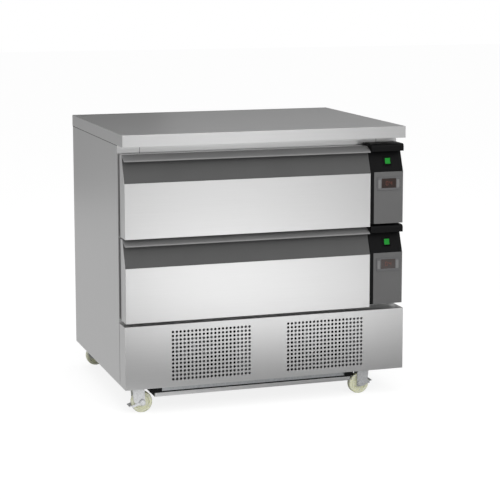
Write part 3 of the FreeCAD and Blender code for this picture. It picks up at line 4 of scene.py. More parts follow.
import bmesh
import bpy
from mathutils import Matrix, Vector


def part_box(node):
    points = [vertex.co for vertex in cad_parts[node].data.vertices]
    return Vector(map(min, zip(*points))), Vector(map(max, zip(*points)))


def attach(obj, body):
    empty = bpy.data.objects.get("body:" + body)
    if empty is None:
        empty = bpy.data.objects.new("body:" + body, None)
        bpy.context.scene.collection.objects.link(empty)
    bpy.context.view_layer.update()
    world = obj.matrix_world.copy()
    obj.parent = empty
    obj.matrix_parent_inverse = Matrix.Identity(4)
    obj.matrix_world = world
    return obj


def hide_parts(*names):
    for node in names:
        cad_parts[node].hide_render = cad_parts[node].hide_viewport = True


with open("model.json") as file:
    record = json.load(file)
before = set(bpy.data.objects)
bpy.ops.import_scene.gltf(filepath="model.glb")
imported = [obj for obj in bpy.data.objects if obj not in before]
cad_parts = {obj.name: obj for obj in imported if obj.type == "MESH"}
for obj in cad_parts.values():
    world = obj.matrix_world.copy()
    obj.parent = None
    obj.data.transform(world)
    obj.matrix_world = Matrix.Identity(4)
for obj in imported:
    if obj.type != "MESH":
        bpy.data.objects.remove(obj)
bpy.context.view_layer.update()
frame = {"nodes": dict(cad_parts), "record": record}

bl_info = {
    "name": "Refrigerated drawer counter",
    "version": (1, 0, 0),
    "blender": (4, 5, 0),
    "location": "View3D > Sidebar > Counter",
    "description": "Dresses a two-drawer refrigerated counter in folded steel, mouldings and castors",
    "category": "Object",
}

MM = 0.001
SMALL = 0.05 * MM
LEVELS = ("upper", "lower")
CASTORS = ("front_left", "front_right", "rear_left", "rear_right")
# the camera's place, from the perspective of the worktop's edges
EYE = Vector((-1.5715, -4.9855, 1.343))
# how far an even colour drifts, and the lumps in the wheels' milky material
DRIFT, CLOUD = 83.33 * MM, 16.67 * MM
# least part of a normal or an edge along an axis: square to it, or leaning
SQUARE, LEANING = 0.9, 0.5


def srgb(text):
    """Linear red, green and blue of an sRGB hex colour."""
    values = [int(text[i : i + 2], 16) / 255 for i in (1, 3, 5)]
    return [v / 12.92 if v <= 0.04045 else ((v + 0.055) / 1.055) ** 2.4 for v in values]


# Property groups: the sizes and colours that a user would change


def length(name, description, millimetres):
    return bpy.props.FloatProperty(
        name=name, description=description, default=millimetres * MM, unit="LENGTH"
    )


def colour(name, description, text):
    return bpy.props.FloatVectorProperty(
        name=name, description=description, default=srgb(text), subtype="COLOR", size=3
    )


class CounterSizes(bpy.types.PropertyGroup):
    edge: length("Sheet edge", "Rounding of a folded sheet edge", 0.6)
    sheet: length("Sheet", "Thickness of the outer sheet", 1.2)
    cover_lip: length("Cover lip", "Lower fold of the machine cover", 8)
    seam: length("Seam", "Gap between two folded sheets", 1.5)
    cover_seam: length("Cover seam", "Machine cover to side panel", 3.5)
    top_return: length("Top return", "Lower fold of the worktop", 71)
    seal: length("Seal", "Sealant line under the worktop", 2)
    rail_height: length("Rail height", "Bright rail in front of the tray", 12)
    # the caps are black pieces that stand in for the shade under the cabinet, which is painted shade
    cap_length: length("Cap length", "Black end of the skirt", 20)
    cap_reach: length("Cap reach", "From the skirt's left end towards the castor", 18)
    cap_over: length("Cap overlap", "Past the skirt's right end", 6)
    vent_radius: length("Vent radius", "Round holes in the machine cover", 4)
    vent_pitch: length("Vent pitch", "Spacing of those holes", 12.1)
    vent_offset: length("Vent offset", "Middle of the cover to the middle of a vent field", 183.5)
    vent_shift: length("Vent shift", "Both fields to the right of the middle", 3.5)
    vent_columns: bpy.props.IntProperty(name="Vent columns", description="In each field", default=21)
    vent_rows: bpy.props.IntProperty(name="Vent rows", description="In each field", default=13)
    face_height: length("Face height", "Upright part of a drawer front", 167)
    lean: length("Lean", "How far the part above it goes back", 32)
    grip_sheet: length("Grip wall", "Plate of the grip", 2)
    lip_drop: length("Lip drop", "Fall of the grip's lip from back to front", 15)
    lip_thick: length("Lip edge", "Thickness of the grip's lip", 4)
    lip_root: length("Lip root", "Height of the lip where it leaves the plate", 6)
    column_seam: length("Column seam", "Foot of a control column to the foot of its leaning part", 161.5)
    column_lean: length("Column lean", "How far that part goes back", 25)
    hood_height: length("Hood height", "Hood over a switch", 22.5)
    hood_radius: length("Hood radius", "Front edge of the hood", 9)
    window_width: length("Window width", "Display window", 48)
    window_height: length("Window height", "Display window", 30)
    digit_height: length("Digit height", "Digits behind the window", 12)
    window_lift: length("Window lift", "Above the middle of a thermostat", 2)
    thermostat_plate: length("Thermostat plate", "Its front plate", 2)
    switch_width: length("Switch width", "Rocker", 22)
    switch_length: length("Switch length", "Rocker, along the leaning face", 25)
    switch_frame: length("Switch frame", "Rim round the rocker", 3.1)
    switch_proud: length("Switch rim", "Rim above the leaning face", 1.5)
    switch_well: length("Switch well", "Leaning face to the back of the well", 14)
    switch_rise: length("Switch rise", "Switch above the middle of the leaning face", 1)
    rocker_rim: length("Rocker rim", "Dark rim round its lens", 2.2)
    rocker_play: length("Rocker play", "Its ends to the frame, for the turn", 1.1)
    rocker_pin: length("Rocker pin", "Pin behind the leaning face", 5)
    rocker_tip: bpy.props.FloatProperty(
        name="Rocker tip", description="Turn to each side", default=math.radians(6), subtype="ANGLE"
    )
    wheel_radius: length("Wheel radius", "Castor wheel", 32.5)
    wheel_width: length("Wheel width", "Castor wheel", 20)
    tyre_round: length("Tyre rounding", "Shoulder of a castor wheel", 4)
    castor_trail: length("Castor trail", "Swivel axis to wheel axle", 13)
    fork_wall: length("Fork wall", "Pressed sheet of a castor fork", 2.5)
    fork_gap: length("Fork gap", "Between its legs", 24)
    fork_front: length("Fork front", "Swivel axis to the front edge of the crown", 17)
    fork_rear: length("Fork rear", "Swivel axis to its rear edge", 20)
    fork_taper: length("Fork taper", "Its front edge goes back towards the axle", 5)
    fork_toe: length("Fork toe", "Rounding of its lower front corner", 18)
    fork_shoulder: length("Fork shoulder", "Sides of the crown", 8)
    fork_boss: length("Fork boss", "Fork round the axle", 9.5)
    race_rise: length("Race rise", "Lower race above the crown", 2)
    race_radius: length("Race radius", "Lower race", 17)
    axle_radius: length("Axle radius", "Castor axle bolt", 4)
    bolt_radius: length("Bolt radius", "Its head and nut, to the corners", 6.8)
    # the washers are black paint that stands in for the shadow round the head and the nut
    washer_radius: length("Washer radius", "Dark washers under them", 9)
    bolt_head: length("Bolt head", "Its head and nut", 4)
    pedal_reach: length("Pedal reach", "Axle to the end of a brake pedal", 42)
    pedal_tread: length("Pedal tread", "Tread of a brake pedal", 8)
    pedal_wall: length("Pedal wall", "Brake pedal", 2)
    pedal_boss: length("Pedal boss", "Brake pedal round the axle", 7)
    pedal_arm: length("Pedal arm", "Half the width of its arm", 4)
    pedal_play: length("Pedal play", "Brake pedal to fork", 0.4)
    pedal_down: bpy.props.FloatProperty(
        name="Pedal down", description="Left pedal at rest", default=math.radians(18), subtype="ANGLE"
    )
    pedal_up: bpy.props.FloatProperty(
        name="Pedal up", description="Right pedal at rest", default=math.radians(-7), subtype="ANGLE"
    )


class CounterColours(bpy.types.PropertyGroup):
    steel: colour("Steel", "Brushed steel of cabinet and drawers", "#CECECE")
    grip: colour("Grip", "Powder-coated grips", "#4C4C4C")
    housing: colour("Housing", "Control mouldings", "#080809")
    fascia: colour("Face plate", "Grey control face", "#606060")
    rocker: colour("Rocker", "Lit rocker switch", "#107A24")
    wheel: colour("Wheel", "Cast castor wheels", "#DCDDC4")


def sizes():
    return bpy.context.scene.counter_sizes


def colours():
    return bpy.context.scene.counter_colours


# Modelling steps that repeat


def only(obj):
    """Makes one object the only selected one, and active."""
    bpy.ops.object.select_all(action="DESELECT")
    obj.select_set(True)
    bpy.context.view_layer.objects.active = obj


def settle(name):
    """Names the new primitive and puts its place, turn and scale into its mesh."""
    obj = bpy.context.object
    obj.name = name
    obj.data.name = name
    bpy.ops.object.transform_apply(location=True, rotation=True, scale=True)
    return obj


def block(name, low, high):
    """A cube primitive between two corners."""
    bpy.ops.object.select_all(action="DESELECT")
    low, high = Vector(low), Vector(high)
    bpy.ops.mesh.primitive_cube_add(size=1, location=(low + high) / 2, scale=high - low)
    return settle(name)


TURNS = {"X": (0, math.pi / 2, 0), "Y": (math.pi / 2, 0, 0), "Z": (0, 0, 0)}


def rod(name, middle, radius, depth, axis="Z", sides=48):
    """A cylinder primitive about an axis."""
    bpy.ops.object.select_all(action="DESELECT")
    bpy.ops.mesh.primitive_cylinder_add(
        vertices=sides, radius=radius, depth=depth, location=middle, rotation=TURNS[axis]
    )
    return settle(name)


def pick(obj, kind, wanted):
    """In edit mode, selects vertices by place, edges by middle and way, or faces by middle and normal."""
    only(obj)
    bpy.ops.object.mode_set(mode="EDIT")
    bpy.ops.mesh.select_mode(type=kind)
    bpy.ops.mesh.select_all(action="DESELECT")
    mesh = bmesh.from_edit_mesh(obj.data)
    if kind == "VERT":
        chosen = [vert for vert in mesh.verts if wanted(vert.co)]
    elif kind == "EDGE":
        ends = [(edge, edge.verts[0].co, edge.verts[1].co) for edge in mesh.edges]
        chosen = [edge for edge, a, b in ends if wanted((a + b) / 2, (b - a).normalized())]
    else:
        mesh.normal_update()
        chosen = [face for face in mesh.faces if wanted(face.calc_center_median(), face.normal)]
    if not chosen:
        raise RuntimeError(f"{obj.name}: nothing to select")
    for item in chosen:
        item.select = True
    mesh.select_flush_mode()
    bmesh.update_edit_mesh(obj.data)


def narrow(obj, wanted):
    """Keeps only those selected vertices that pass a test."""
    bpy.ops.mesh.select_mode(type="VERT")
    mesh = bmesh.from_edit_mesh(obj.data)
    for vert in mesh.verts:
        vert.select = vert.select and wanted(vert.co)
    mesh.select_flush_mode()
    bmesh.update_edit_mesh(obj.data)


def grasp(obj):
    """In edit mode, selects the whole mesh."""
    only(obj)
    bpy.ops.object.mode_set(mode="EDIT")
    bpy.ops.mesh.select_all(action="SELECT")


def leave():
    bpy.ops.object.mode_set(mode="OBJECT")


def move(offset):
    bpy.ops.transform.translate(value=offset)


def extrude(offset):
    bpy.ops.mesh.extrude_region_move(TRANSFORM_OT_translate={"value": offset})


def inset(thickness, depth=0):
    bpy.ops.mesh.inset(thickness=thickness, depth=depth)


def open_side(obj, wanted):
    """Removes the faces that pass a test, which leaves a folded sheet."""
    pick(obj, "FACE", wanted)
    bpy.ops.mesh.delete(type="FACE")
    leave()


def bevel_edges(obj, wanted, width, segments=3):
    """Rounds the edges that pass a test."""
    pick(obj, "EDGE", wanted)
    bpy.ops.mesh.bevel(offset=width, segments=segments, affect="EDGES", clamp_overlap=True)
    leave()


def modify(obj, kind, **settings):
    """Puts a modifier on an object, and applies it."""
    only(obj)
    modifier = obj.modifiers.new(kind.lower(), kind)
    for name, value in settings.items():
        setattr(modifier, name, value)
    bpy.ops.object.modifier_apply(modifier=modifier.name)


def round_all(obj, width, segments=2, angle=30):
    """Rounds every edge that is sharper than an angle."""
    limit = math.radians(angle)
    modify(obj, "BEVEL", width=width, segments=segments, limit_method="ANGLE", angle_limit=limit)


def thicken(obj, depth):
    """Gives a sheet its thickness, to the inside."""
    modify(obj, "SOLIDIFY", thickness=depth, offset=-1, use_even_offset=True)


def combine(obj, operation, tools):
    """Cuts other objects out of one, or fuses them on, and removes them."""
    for tool in tools:
        modify(obj, "BOOLEAN", operation=operation, solver="EXACT", object=tool)
        bpy.data.objects.remove(tool)


def carve(obj, *tools):
    combine(obj, "DIFFERENCE", tools)


def weld(obj, *tools):
    combine(obj, "UNION", tools)


def in_row(obj, step, count):
    """Repeats an object along a line."""
    ways = {"use_relative_offset": False, "use_constant_offset": True}
    modify(obj, "ARRAY", constant_offset_displace=step, count=count, **ways)


def turn_about(obj, point, angle, axis="X"):
    """Turns a mesh about a point; the object stays where it is."""
    grasp(obj)
    bpy.ops.transform.rotate(value=-angle, orient_axis=axis, center_override=point)
    leave()


def copy_of(obj, name, offset):
    """A copy with its own mesh, moved by an offset."""
    twin = obj.copy()
    twin.data = obj.data.copy()
    twin.name = twin.data.name = name
    bpy.context.scene.collection.objects.link(twin)
    grasp(twin)
    move(offset)
    leave()
    return twin


def middle_of(node):
    """The middle of a CAD node's box."""
    low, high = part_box(node)
    return (low + high) / 2


def shared(level, node):
    """The CAD node that both levels' pieces replace, named once, with the upper piece."""
    return (node,) if level == LEVELS[0] else ()


def finish(obj, material, body, *nodes, slot=None):
    """Shades a piece, gives it its material and lets it ride with its body in place of CAD nodes."""
    only(obj)
    bpy.ops.object.shade_smooth_by_angle(angle=math.radians(35))
    modify(obj, "WEIGHTED_NORMAL", keep_sharp=True)
    obj.data.materials.clear()
    obj.data.materials.append(MATERIALS[material])
    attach(obj, body)
    if nodes:
        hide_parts(*nodes)
    return obj


def repaint(obj, material, wanted):
    """Gives the faces that pass a test another finish."""
    obj.data.materials.append(MATERIALS[material])
    pick(obj, "FACE", wanted)
    obj.active_material_index = len(obj.data.materials) - 1
    bpy.ops.object.material_slot_assign()
    leave()


# Materials


def add_node(tree, kind, settings=None, *outputs, **links):
    """Adds a node, sets its inputs or properties by name, and links outputs to inputs in order or by name."""
    node = tree.nodes.new(kind)
    for name, value in (settings or {}).items():
        if name in node.inputs:
            node.inputs[name].default_value = value
        else:
            setattr(node, name, value)
    for number, output in enumerate(outputs):
        tree.links.new(output, node.inputs[number])
    for name, output in links.items():
        tree.links.new(output, node.inputs[name.replace("_", " ")])
    return node


def new_material(name, shade, metallic, roughness):
    """A material with its principled shader, and Object coordinates for its patterns."""
    material = bpy.data.materials.new(name)
    material.use_nodes = True
    tree = material.node_tree
    shader = tree.nodes["Principled BSDF"]
    shader.inputs["Base Color"].default_value = (*shade, 1)
    shader.inputs["Metallic"].default_value = metallic
    shader.inputs["Roughness"].default_value = roughness
    material.diffuse_color = (*shade, 1)
    place = add_node(tree, "ShaderNodeTexCoord").outputs["Object"]
    return material, tree, shader, place


def vary(tree, shader, factor, shade, amount):
    """Lets a pattern lighten and darken the base colour a little."""
    mix = add_node(tree, "ShaderNodeMix", {"data_type": "RGBA"}, factor)
    mix.inputs[6].default_value = (*[part * (1 - amount) for part in shade], 1)
    mix.inputs[7].default_value = (*[min(part * (1 + amount), 1) for part in shade], 1)
    tree.links.new(mix.outputs[2], shader.inputs["Base Color"])


def relief(tree, shader, height, strength, depth):
    """Lets a pattern tilt the surface."""
    bump = add_node(tree, "ShaderNodeBump", {"Strength": strength, "Distance": depth}, Height=height)
    tree.links.new(bump.outputs["Normal"], shader.inputs["Normal"])


def noise(tree, size, place, detail=2.0, **settings):
    """A cloudy pattern whose lumps have a real size."""
    settings = {"Scale": 1 / size, "Detail": detail, **settings}
    return add_node(tree, "ShaderNodeTexNoise", settings, Vector=place).outputs["Fac"]


def brushed(name, shade, grain):
    """Ground stainless sheet: fine lines along one way, whose small tilts spread the highlight."""
    material, tree, shader, place = new_material(name, shade, 1.0, 0.33)
    # the lines of the belt are finer; these are as coarse as the picture needs to show them
    across, along = 1.2 * MM, 250 * MM
    scale = [1 / (along if axis == grain else across) for axis in "XYZ"]
    stretch = add_node(tree, "ShaderNodeMapping", {"Scale": scale}, Vector=place)
    lines = noise(tree, 1.0, stretch.outputs["Vector"], 3.0, Roughness=0.6)
    vary(tree, shader, lines, shade, 0.05)
    relief(tree, shader, lines, 0.04, 0.1 * MM)
    return material


def moulded(name, shade, roughness, grain=0.6, strength=0.15, gloss=0.5):
    """Moulded plastic or painted sheet: an even texture, in millimetres, and a slight drift of colour."""
    material, tree, shader, place = new_material(name, shade, 0.0, roughness)
    shader.inputs["Specular IOR Level"].default_value = gloss
    texture = noise(tree, grain * MM, place)
    vary(tree, shader, noise(tree, DRIFT, place), shade, 0.08)
    relief(tree, shader, texture, strength, 0.05 * MM)
    return material


def plated(name, shade, roughness=0.32):
    """Bare or plated metal: small cloudy crystals."""
    material, tree, shader, place = new_material(name, shade, 1.0, roughness)
    crystal = 6 * MM
    crystals = add_node(tree, "ShaderNodeTexVoronoi", {"Scale": 1 / crystal}, Vector=place)
    vary(tree, shader, crystals.outputs["Distance"], shade, 0.12)
    return material


def clouded(name, shade):
    """Cast wheel material: pale, slightly see-through, with a soft gloss."""
    material, tree, shader, place = new_material(name, shade, 0.0, 0.35)
    shader.inputs["Subsurface Weight"].default_value = 0.3
    shader.inputs["Subsurface Radius"].default_value = (6 * MM, 6 * MM, 3 * MM)
    vary(tree, shader, noise(tree, CLOUD, place), shade, 0.06)
    return material


def lit(name, shade, strength):
    """Translucent plastic with a lamp behind it."""
    material = moulded(name, shade, 0.4, strength=0.05, gloss=0.15)
    shader = material.node_tree.nodes["Principled BSDF"]
    shader.inputs["Emission Color"].default_value = (*shade, 1)
    shader.inputs["Emission Strength"].default_value = strength
    return material


MATERIALS = {}


def make_materials():
    """Makes each finish, with what it gives the eye"""
    c = colours()
    MATERIALS.update(
        # long soft highlights across the fine lines of the belt
        stainless=brushed("Brushed stainless steel", c.steel, "X"),
        stainless_side=brushed("Upright brushed stainless steel", c.steel, "Z"),
        # cool grey with cloudy spots
        galvanised=plated("Galvanised sheet", srgb("#B9BCBE")),
        # brighter, with a wide soft shine
        zinc=plated("Bright zinc plate", srgb("#DCDDDE"), 0.5),
        bare_aluminium=plated("Mill aluminium", srgb("#CDCED0")),
        # warm red metal
        copper=plated("Copper tube", srgb("#C27A50")),
        # even dark grey that swallows most reflections
        dark_grip=moulded("Dark powder-coated grip", c.grip, 0.5, 0.5, 0.1, gloss=0.35),
        # the same coat, painted paler: painted light on the lip
        worn_lip=moulded("Grip lip painted lighter", srgb("#808080"), 0.45, 0.5, 0.1, gloss=0.4),
        # coarse matt yellow
        foam=moulded("Rigid foam", srgb("#E0D39A"), 0.9, 1.5, 0.5),
        # deep black with a weak satin shine
        black_plastic=moulded("Black moulded plastic", c.housing, 0.5, gloss=0.13),
        # black enamel also serves as painted shade: on the base tray, on the washers round the axle nuts, and
        # in part behind the vents
        compressor_black=moulded("Black enamel and painted shade", srgb("#17181A"), 0.25),
        # flat middle grey
        grey_panel=moulded("Grey lacquered sheet", c.fascia, 0.55, gloss=0.25),
        grey_plastic=moulded("Grey moulded plastic", srgb("#5F5F60"), 0.45, gloss=0.3),
        # a lighter grey with a fine grain
        light_plastic=moulded("Light grey key plastic", srgb("#747474"), 0.5, 0.4, 0.4),
        # green that glows from inside
        green_plastic=lit("Lit green polycarbonate", c.rocker, 0.35),
        # brown-black, clear enough to mirror the room
        dark_window=moulded("Smoked acrylic", srgb("#352B28"), 0.15, strength=0.0),
        # dull red bars that barely glow
        digits=lit("Red display digits", srgb("#6A3A30"), 0.1),
        # matt white paint
        marks=moulded("White pad print", srgb("#DCE8DE"), 0.5, strength=0.0),
        # matt soft black
        gasket_rubber=moulded("PVC gasket", srgb("#3B3B3C"), 0.7),
        # milky cream
        wheel_nylon=clouded("Cast wheel polymer", c.wheel),
    )


class COUNTER_OT_cad_finish(bpy.types.Operator):
    """Makes the materials and gives every CAD node the finish of its slot"""

    bl_idname = "counter.cad_finish"
    bl_label = "Finish the CAD nodes"

    def execute(self, context):
        make_materials()
        for part in frame["record"]["subparts"]:
            name = part["node"]
            slot = part["material_slot"]
            if name.endswith("side_panel"):
                slot = "stainless_side"
            # black enamel on the base tray is painted shade under the cabinet; on the condensers and their
            # fan motors it is partly real paint and partly painted shade behind the vents
            elif name in ("condensers", "condenser_fan_motors", "base_tray"):
                slot = "compressor_black"
            mesh = frame["nodes"][name].data
            mesh.materials.clear()
            mesh.materials.append(MATERIALS[slot])
        return {"FINISHED"}


# Pieces


class COUNTER_OT_worktop(bpy.types.Operator):
    """Folds the worktop: a pan with its returns turned in below"""

    bl_idname = "counter.worktop"
    bl_label = "Worktop"

    def execute(self, context):
        s = sizes()
        pan = block("worktop_pan", *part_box("worktop"))
        pick(pan, "FACE", lambda p, n: n.z < -SQUARE)
        inset(s.top_return)
        bpy.ops.mesh.delete(type="FACE")
        leave()
        thicken(pan, s.sheet)
        round_all(pan, s.edge, 3)
        finish(pan, "stainless", "cabinet", "worktop")
        return {"FINISHED"}


class COUNTER_OT_machine_cover(bpy.types.Operator):
    """Folds the machine cover and punches its two fields of round vents"""

    bl_idname = "counter.machine_cover"
    bl_label = "Machine cover"

    def execute(self, context):
        s = sizes()
        low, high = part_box("machine_cover")
        front = low.y + SMALL
        cover = block("machine_cover_sheet", low, high - Vector((0, s.cover_seam, 0)))
        open_side(cover, lambda p, n: n.y > SQUARE or n.z < -SQUARE)
        pick(cover, "EDGE", lambda p, way: abs(way.x) > SQUARE and p.z < low.z + SMALL and p.y < front)
        extrude((0, s.cover_lip, 0))
        leave()
        thicken(cover, s.sheet)
        bevel_edges(cover, lambda p, way: p.y < front, s.edge)
        self.punch(cover, low, high)
        finish(cover, "stainless", "cabinet", "machine_cover")
        return {"FINISHED"}

    def punch(self, cover, low, high):
        """Cuts both fields of vents out of the front."""
        s = sizes()
        wide = s.vent_pitch * (s.vent_columns - 1)
        tall = s.vent_pitch * (s.vent_rows - 1)
        for way in (-1, 1):
            start = (way * s.vent_offset + s.vent_shift - wide / 2, low.y, (low.z + high.z) / 2 - tall / 2)
            cutter = rod("vents", start, s.vent_radius, s.sheet * 4, "Y", sides=16)
            in_row(cutter, (s.vent_pitch, 0, 0), s.vent_columns)
            in_row(cutter, (0, 0, s.vent_pitch), s.vent_rows)
            carve(cover, cutter)


class COUNTER_OT_seams(bpy.types.Operator):
    """Lays the dark sealant: a line under the worktop, and strips in the seams of the front frame"""

    bl_idname = "counter.seams"
    bl_label = "Seams and seals"

    def execute(self, context):
        s = sizes()
        left_low, left_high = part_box("left_side_panel")
        right_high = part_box("right_side_panel")[1]
        proud, wall, sunk = 0.4 * MM, 1 * MM, 0.3 * MM
        low = Vector((left_low.x - proud, left_low.y + s.sheet, left_high.z - s.seal))
        high = Vector((right_high.x + proud, right_high.y + proud, left_high.z))
        seal = block("worktop_seal", low, high)
        carve(seal, block("hole", low + Vector((wall, -wall, -wall)), high + Vector((-wall, -wall, wall))))
        self.lay(seal, 0.15 * MM, 1)
        low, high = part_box("front_frame")
        for name, x in (("left", low.x - s.seam), ("right", high.x)):
            strip = block(f"{name}_frame_seal", (x, low.y + sunk, low.z), (x + s.seam, high.y, high.z))
            self.lay(strip, 0.2 * MM, 2)
        return {"FINISHED"}

    def lay(self, strip, softness, segments):
        round_all(strip, softness, segments)
        finish(strip, "gasket_rubber", "cabinet")


class COUNTER_OT_base(bpy.types.Operator):
    """Folds the bright rail in front of the tray, and caps the ends of the skirt with black caps that are
    painted shade under the cabinet
    """

    bl_idname = "counter.base"
    bl_label = "Base rail and caps"

    def execute(self, context):
        s = sizes()
        low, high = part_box("base_tray")
        depth = 3 * MM
        rail = block("base_rail", (low.x, low.y - depth, low.z), (high.x, low.y, low.z + s.rail_height))
        open_side(rail, lambda p, n: n.y > SQUARE)
        thicken(rail, s.sheet)
        round_all(rail, s.edge)
        finish(rail, "stainless", "cabinet")
        self.cap("left", low.x - s.cap_reach, low.x + s.cap_length)
        self.cap("right", high.x - s.cap_length, high.x + s.cap_over)
        return {"FINISHED"}

    def cap(self, name, start, end):
        """A black moulded cap between two places, hollow from behind: painted shade where the dark under the
        cabinet shows.
        """
        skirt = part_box("base_chassis")[0]
        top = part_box("machine_cover")[0].z + sizes().cover_lip
        proud, depth, wall, hollow, softness = 1 * MM, 6 * MM, 1.5 * MM, 4 * MM, 0.8 * MM
        cap = block(f"{name}_skirt_shade_cap", (start, skirt.y - proud, skirt.z), (end, skirt.y + depth, top))
        pick(cap, "FACE", lambda p, n: n.y > SQUARE)
        inset(wall)
        extrude((0, -hollow, 0))
        leave()
        round_all(cap, softness, 3)
        finish(cap, "black_plastic", "cabinet")


class COUNTER_OT_drawer_fronts(bpy.types.Operator):
    """Folds the drawer fronts, upright below and leaning back above"""

    bl_idname = "counter.drawer_fronts"
    bl_label = "Drawer fronts"

    def execute(self, context):
        s = sizes()
        for level in LEVELS:
            low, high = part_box(f"{level}_drawer_front")
            seam = low.z + s.face_height
            skin = block(f"{level}_front_skin", low, (high.x, high.y, seam))
            pick(skin, "FACE", lambda p, n: n.z > SQUARE)
            extrude((0, 0, 0))
            narrow(skin, lambda p: p.y < low.y + SMALL)
            move((0, s.grip_sheet, 0))
            bpy.ops.mesh.select_all(action="SELECT")
            bpy.ops.mesh.remove_doubles(threshold=SMALL)
            leave()
            pick(skin, "FACE", lambda p, n: n.z > SQUARE and p.y > low.y + s.grip_sheet * 2)
            extrude((0, 0, high.z - seam))
            narrow(skin, lambda p: p.y < low.y + s.grip_sheet * 2)
            move((0, s.lean, 0))
            leave()
            open_side(skin, lambda p, n: n.y > SQUARE)
            thicken(skin, s.sheet)
            round_all(skin, s.edge)
            finish(skin, "stainless", f"{level}_drawer", f"{level}_drawer_front")
        return {"FINISHED"}


class COUNTER_OT_grips(bpy.types.Operator):
    """Makes the full-width grips: a leaning plate with a lip over the fingers"""

    bl_idname = "counter.grips"
    bl_label = "Grips"

    def execute(self, context):
        s = sizes()
        for level in LEVELS:
            low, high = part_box(f"{level}_grip")
            front = low.y
            grip = block(f"{level}_grip_bar", low, (high.x, front + s.grip_sheet, high.z))
            pick(grip, "VERT", lambda p: p.z > high.z - SMALL)
            move((0, s.lean, 0))
            bpy.ops.mesh.select_all(action="SELECT")
            root = high.z - s.lip_root
            bpy.ops.mesh.bisect(plane_co=(0, 0, root), plane_no=(0, 0, 1))
            leave()
            pick(grip, "FACE", lambda p, n: n.y < -LEANING and p.z > root)
            extrude((0, -s.lean, -s.lip_drop))
            narrow(grip, lambda p: p.z < high.z - s.lip_drop - SMALL)
            move((0, s.lean * s.lip_root / (high.z - low.z), s.lip_root - s.lip_thick))
            leave()
            tip = front + SMALL
            tip_low = high.z - s.lip_drop - s.lip_root
            nearly_half = 0.47 * s.lip_thick
            bevel_edges(grip, lambda p, way: p.y < tip and p.z > tip_low, nearly_half, 5)
            finish(grip, "dark_grip", f"{level}_drawer", f"{level}_grip")
            slope = s.lean / (high.z - low.z)
            # the lip gets the paler coat, which is painted light
            repaint(grip, "worn_lip", lambda p, n: p.y < front + slope * (p.z - low.z) - s.grip_sheet / 2)
        return {"FINISHED"}


class COUNTER_OT_control_housings(bpy.types.Operator):
    """Moulds the black control housings with their hoods"""

    bl_idname = "counter.control_housings"
    bl_label = "Control housings"

    def execute(self, context):
        s = sizes()
        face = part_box("control_fascias")[1].y
        for level in LEVELS:
            low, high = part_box(f"{level}_control_housing")
            hood_low = high.z - s.hood_height
            seam = low.z + s.column_seam
            body = block(f"{level}_control_moulding", (low.x, face, low.z), (high.x, high.y, seam))
            pick(body, "FACE", lambda p, n: n.z > SQUARE)
            extrude((0, 0, hood_low - seam))
            narrow(body, lambda p: p.y < face + SMALL)
            move((0, s.column_lean, 0))
            leave()
            pick(body, "FACE", lambda p, n: n.z > SQUARE)
            extrude((0, 0, s.hood_height))
            leave()
            pick(body, "FACE", lambda p, n: n.y < -SQUARE and p.z > hood_low)
            extrude((0, low.y - face - s.column_lean, 0))
            leave()
            top = high.z - SMALL
            nose = low.y + SMALL
            bevel_edges(body, lambda p, way: p.z > top and p.y < nose, s.hood_radius, 6)
            bevel_edges(body, lambda p, way: p.z > top and abs(way.y) > SQUARE, s.hood_radius / 2, 4)
            spot, lean = switch_spot(level)
            room, deep, softness = 2 * MM, 20 * MM, 0.8 * MM
            reach = Vector((s.switch_width / 2 + room, deep, s.switch_length / 2 + room))
            seat = block("seat", spot - reach, spot + reach)
            turn_about(seat, spot, -lean)
            carve(body, seat)
            round_all(body, softness, 2, 40)
            finish(body, "black_plastic", "cabinet", f"{level}_control_housing")
        return {"FINISHED"}


class COUNTER_OT_fascias(bpy.types.Operator):
    """Cuts the grey face plates of the control columns"""

    bl_idname = "counter.fascias"
    bl_label = "Face plates"

    def execute(self, context):
        s = sizes()
        low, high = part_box("control_fascias")
        case_low, case_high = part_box("thermostats")
        lap, flat = 4 * MM, 0.2 * MM
        for level in LEVELS:
            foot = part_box(f"{level}_control_housing")[0].z
            plate = block(f"{level}_face_plate", (low.x, low.y, foot), (high.x, high.y, foot + s.column_seam))
            key_low, key_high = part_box(f"{level}_left_key")
            hole_low = (case_low.x + lap, low.y - MM, key_low.z)
            carve(plate, block("hole", hole_low, (case_high.x - lap, 0, key_high.z)))
            bevel_edges(plate, lambda p, way: p.y < low.y + SMALL, high.y - low.y - flat, 3)
            finish(plate, "grey_panel", "cabinet", *shared(level, "control_fascias"))
        return {"FINISHED"}


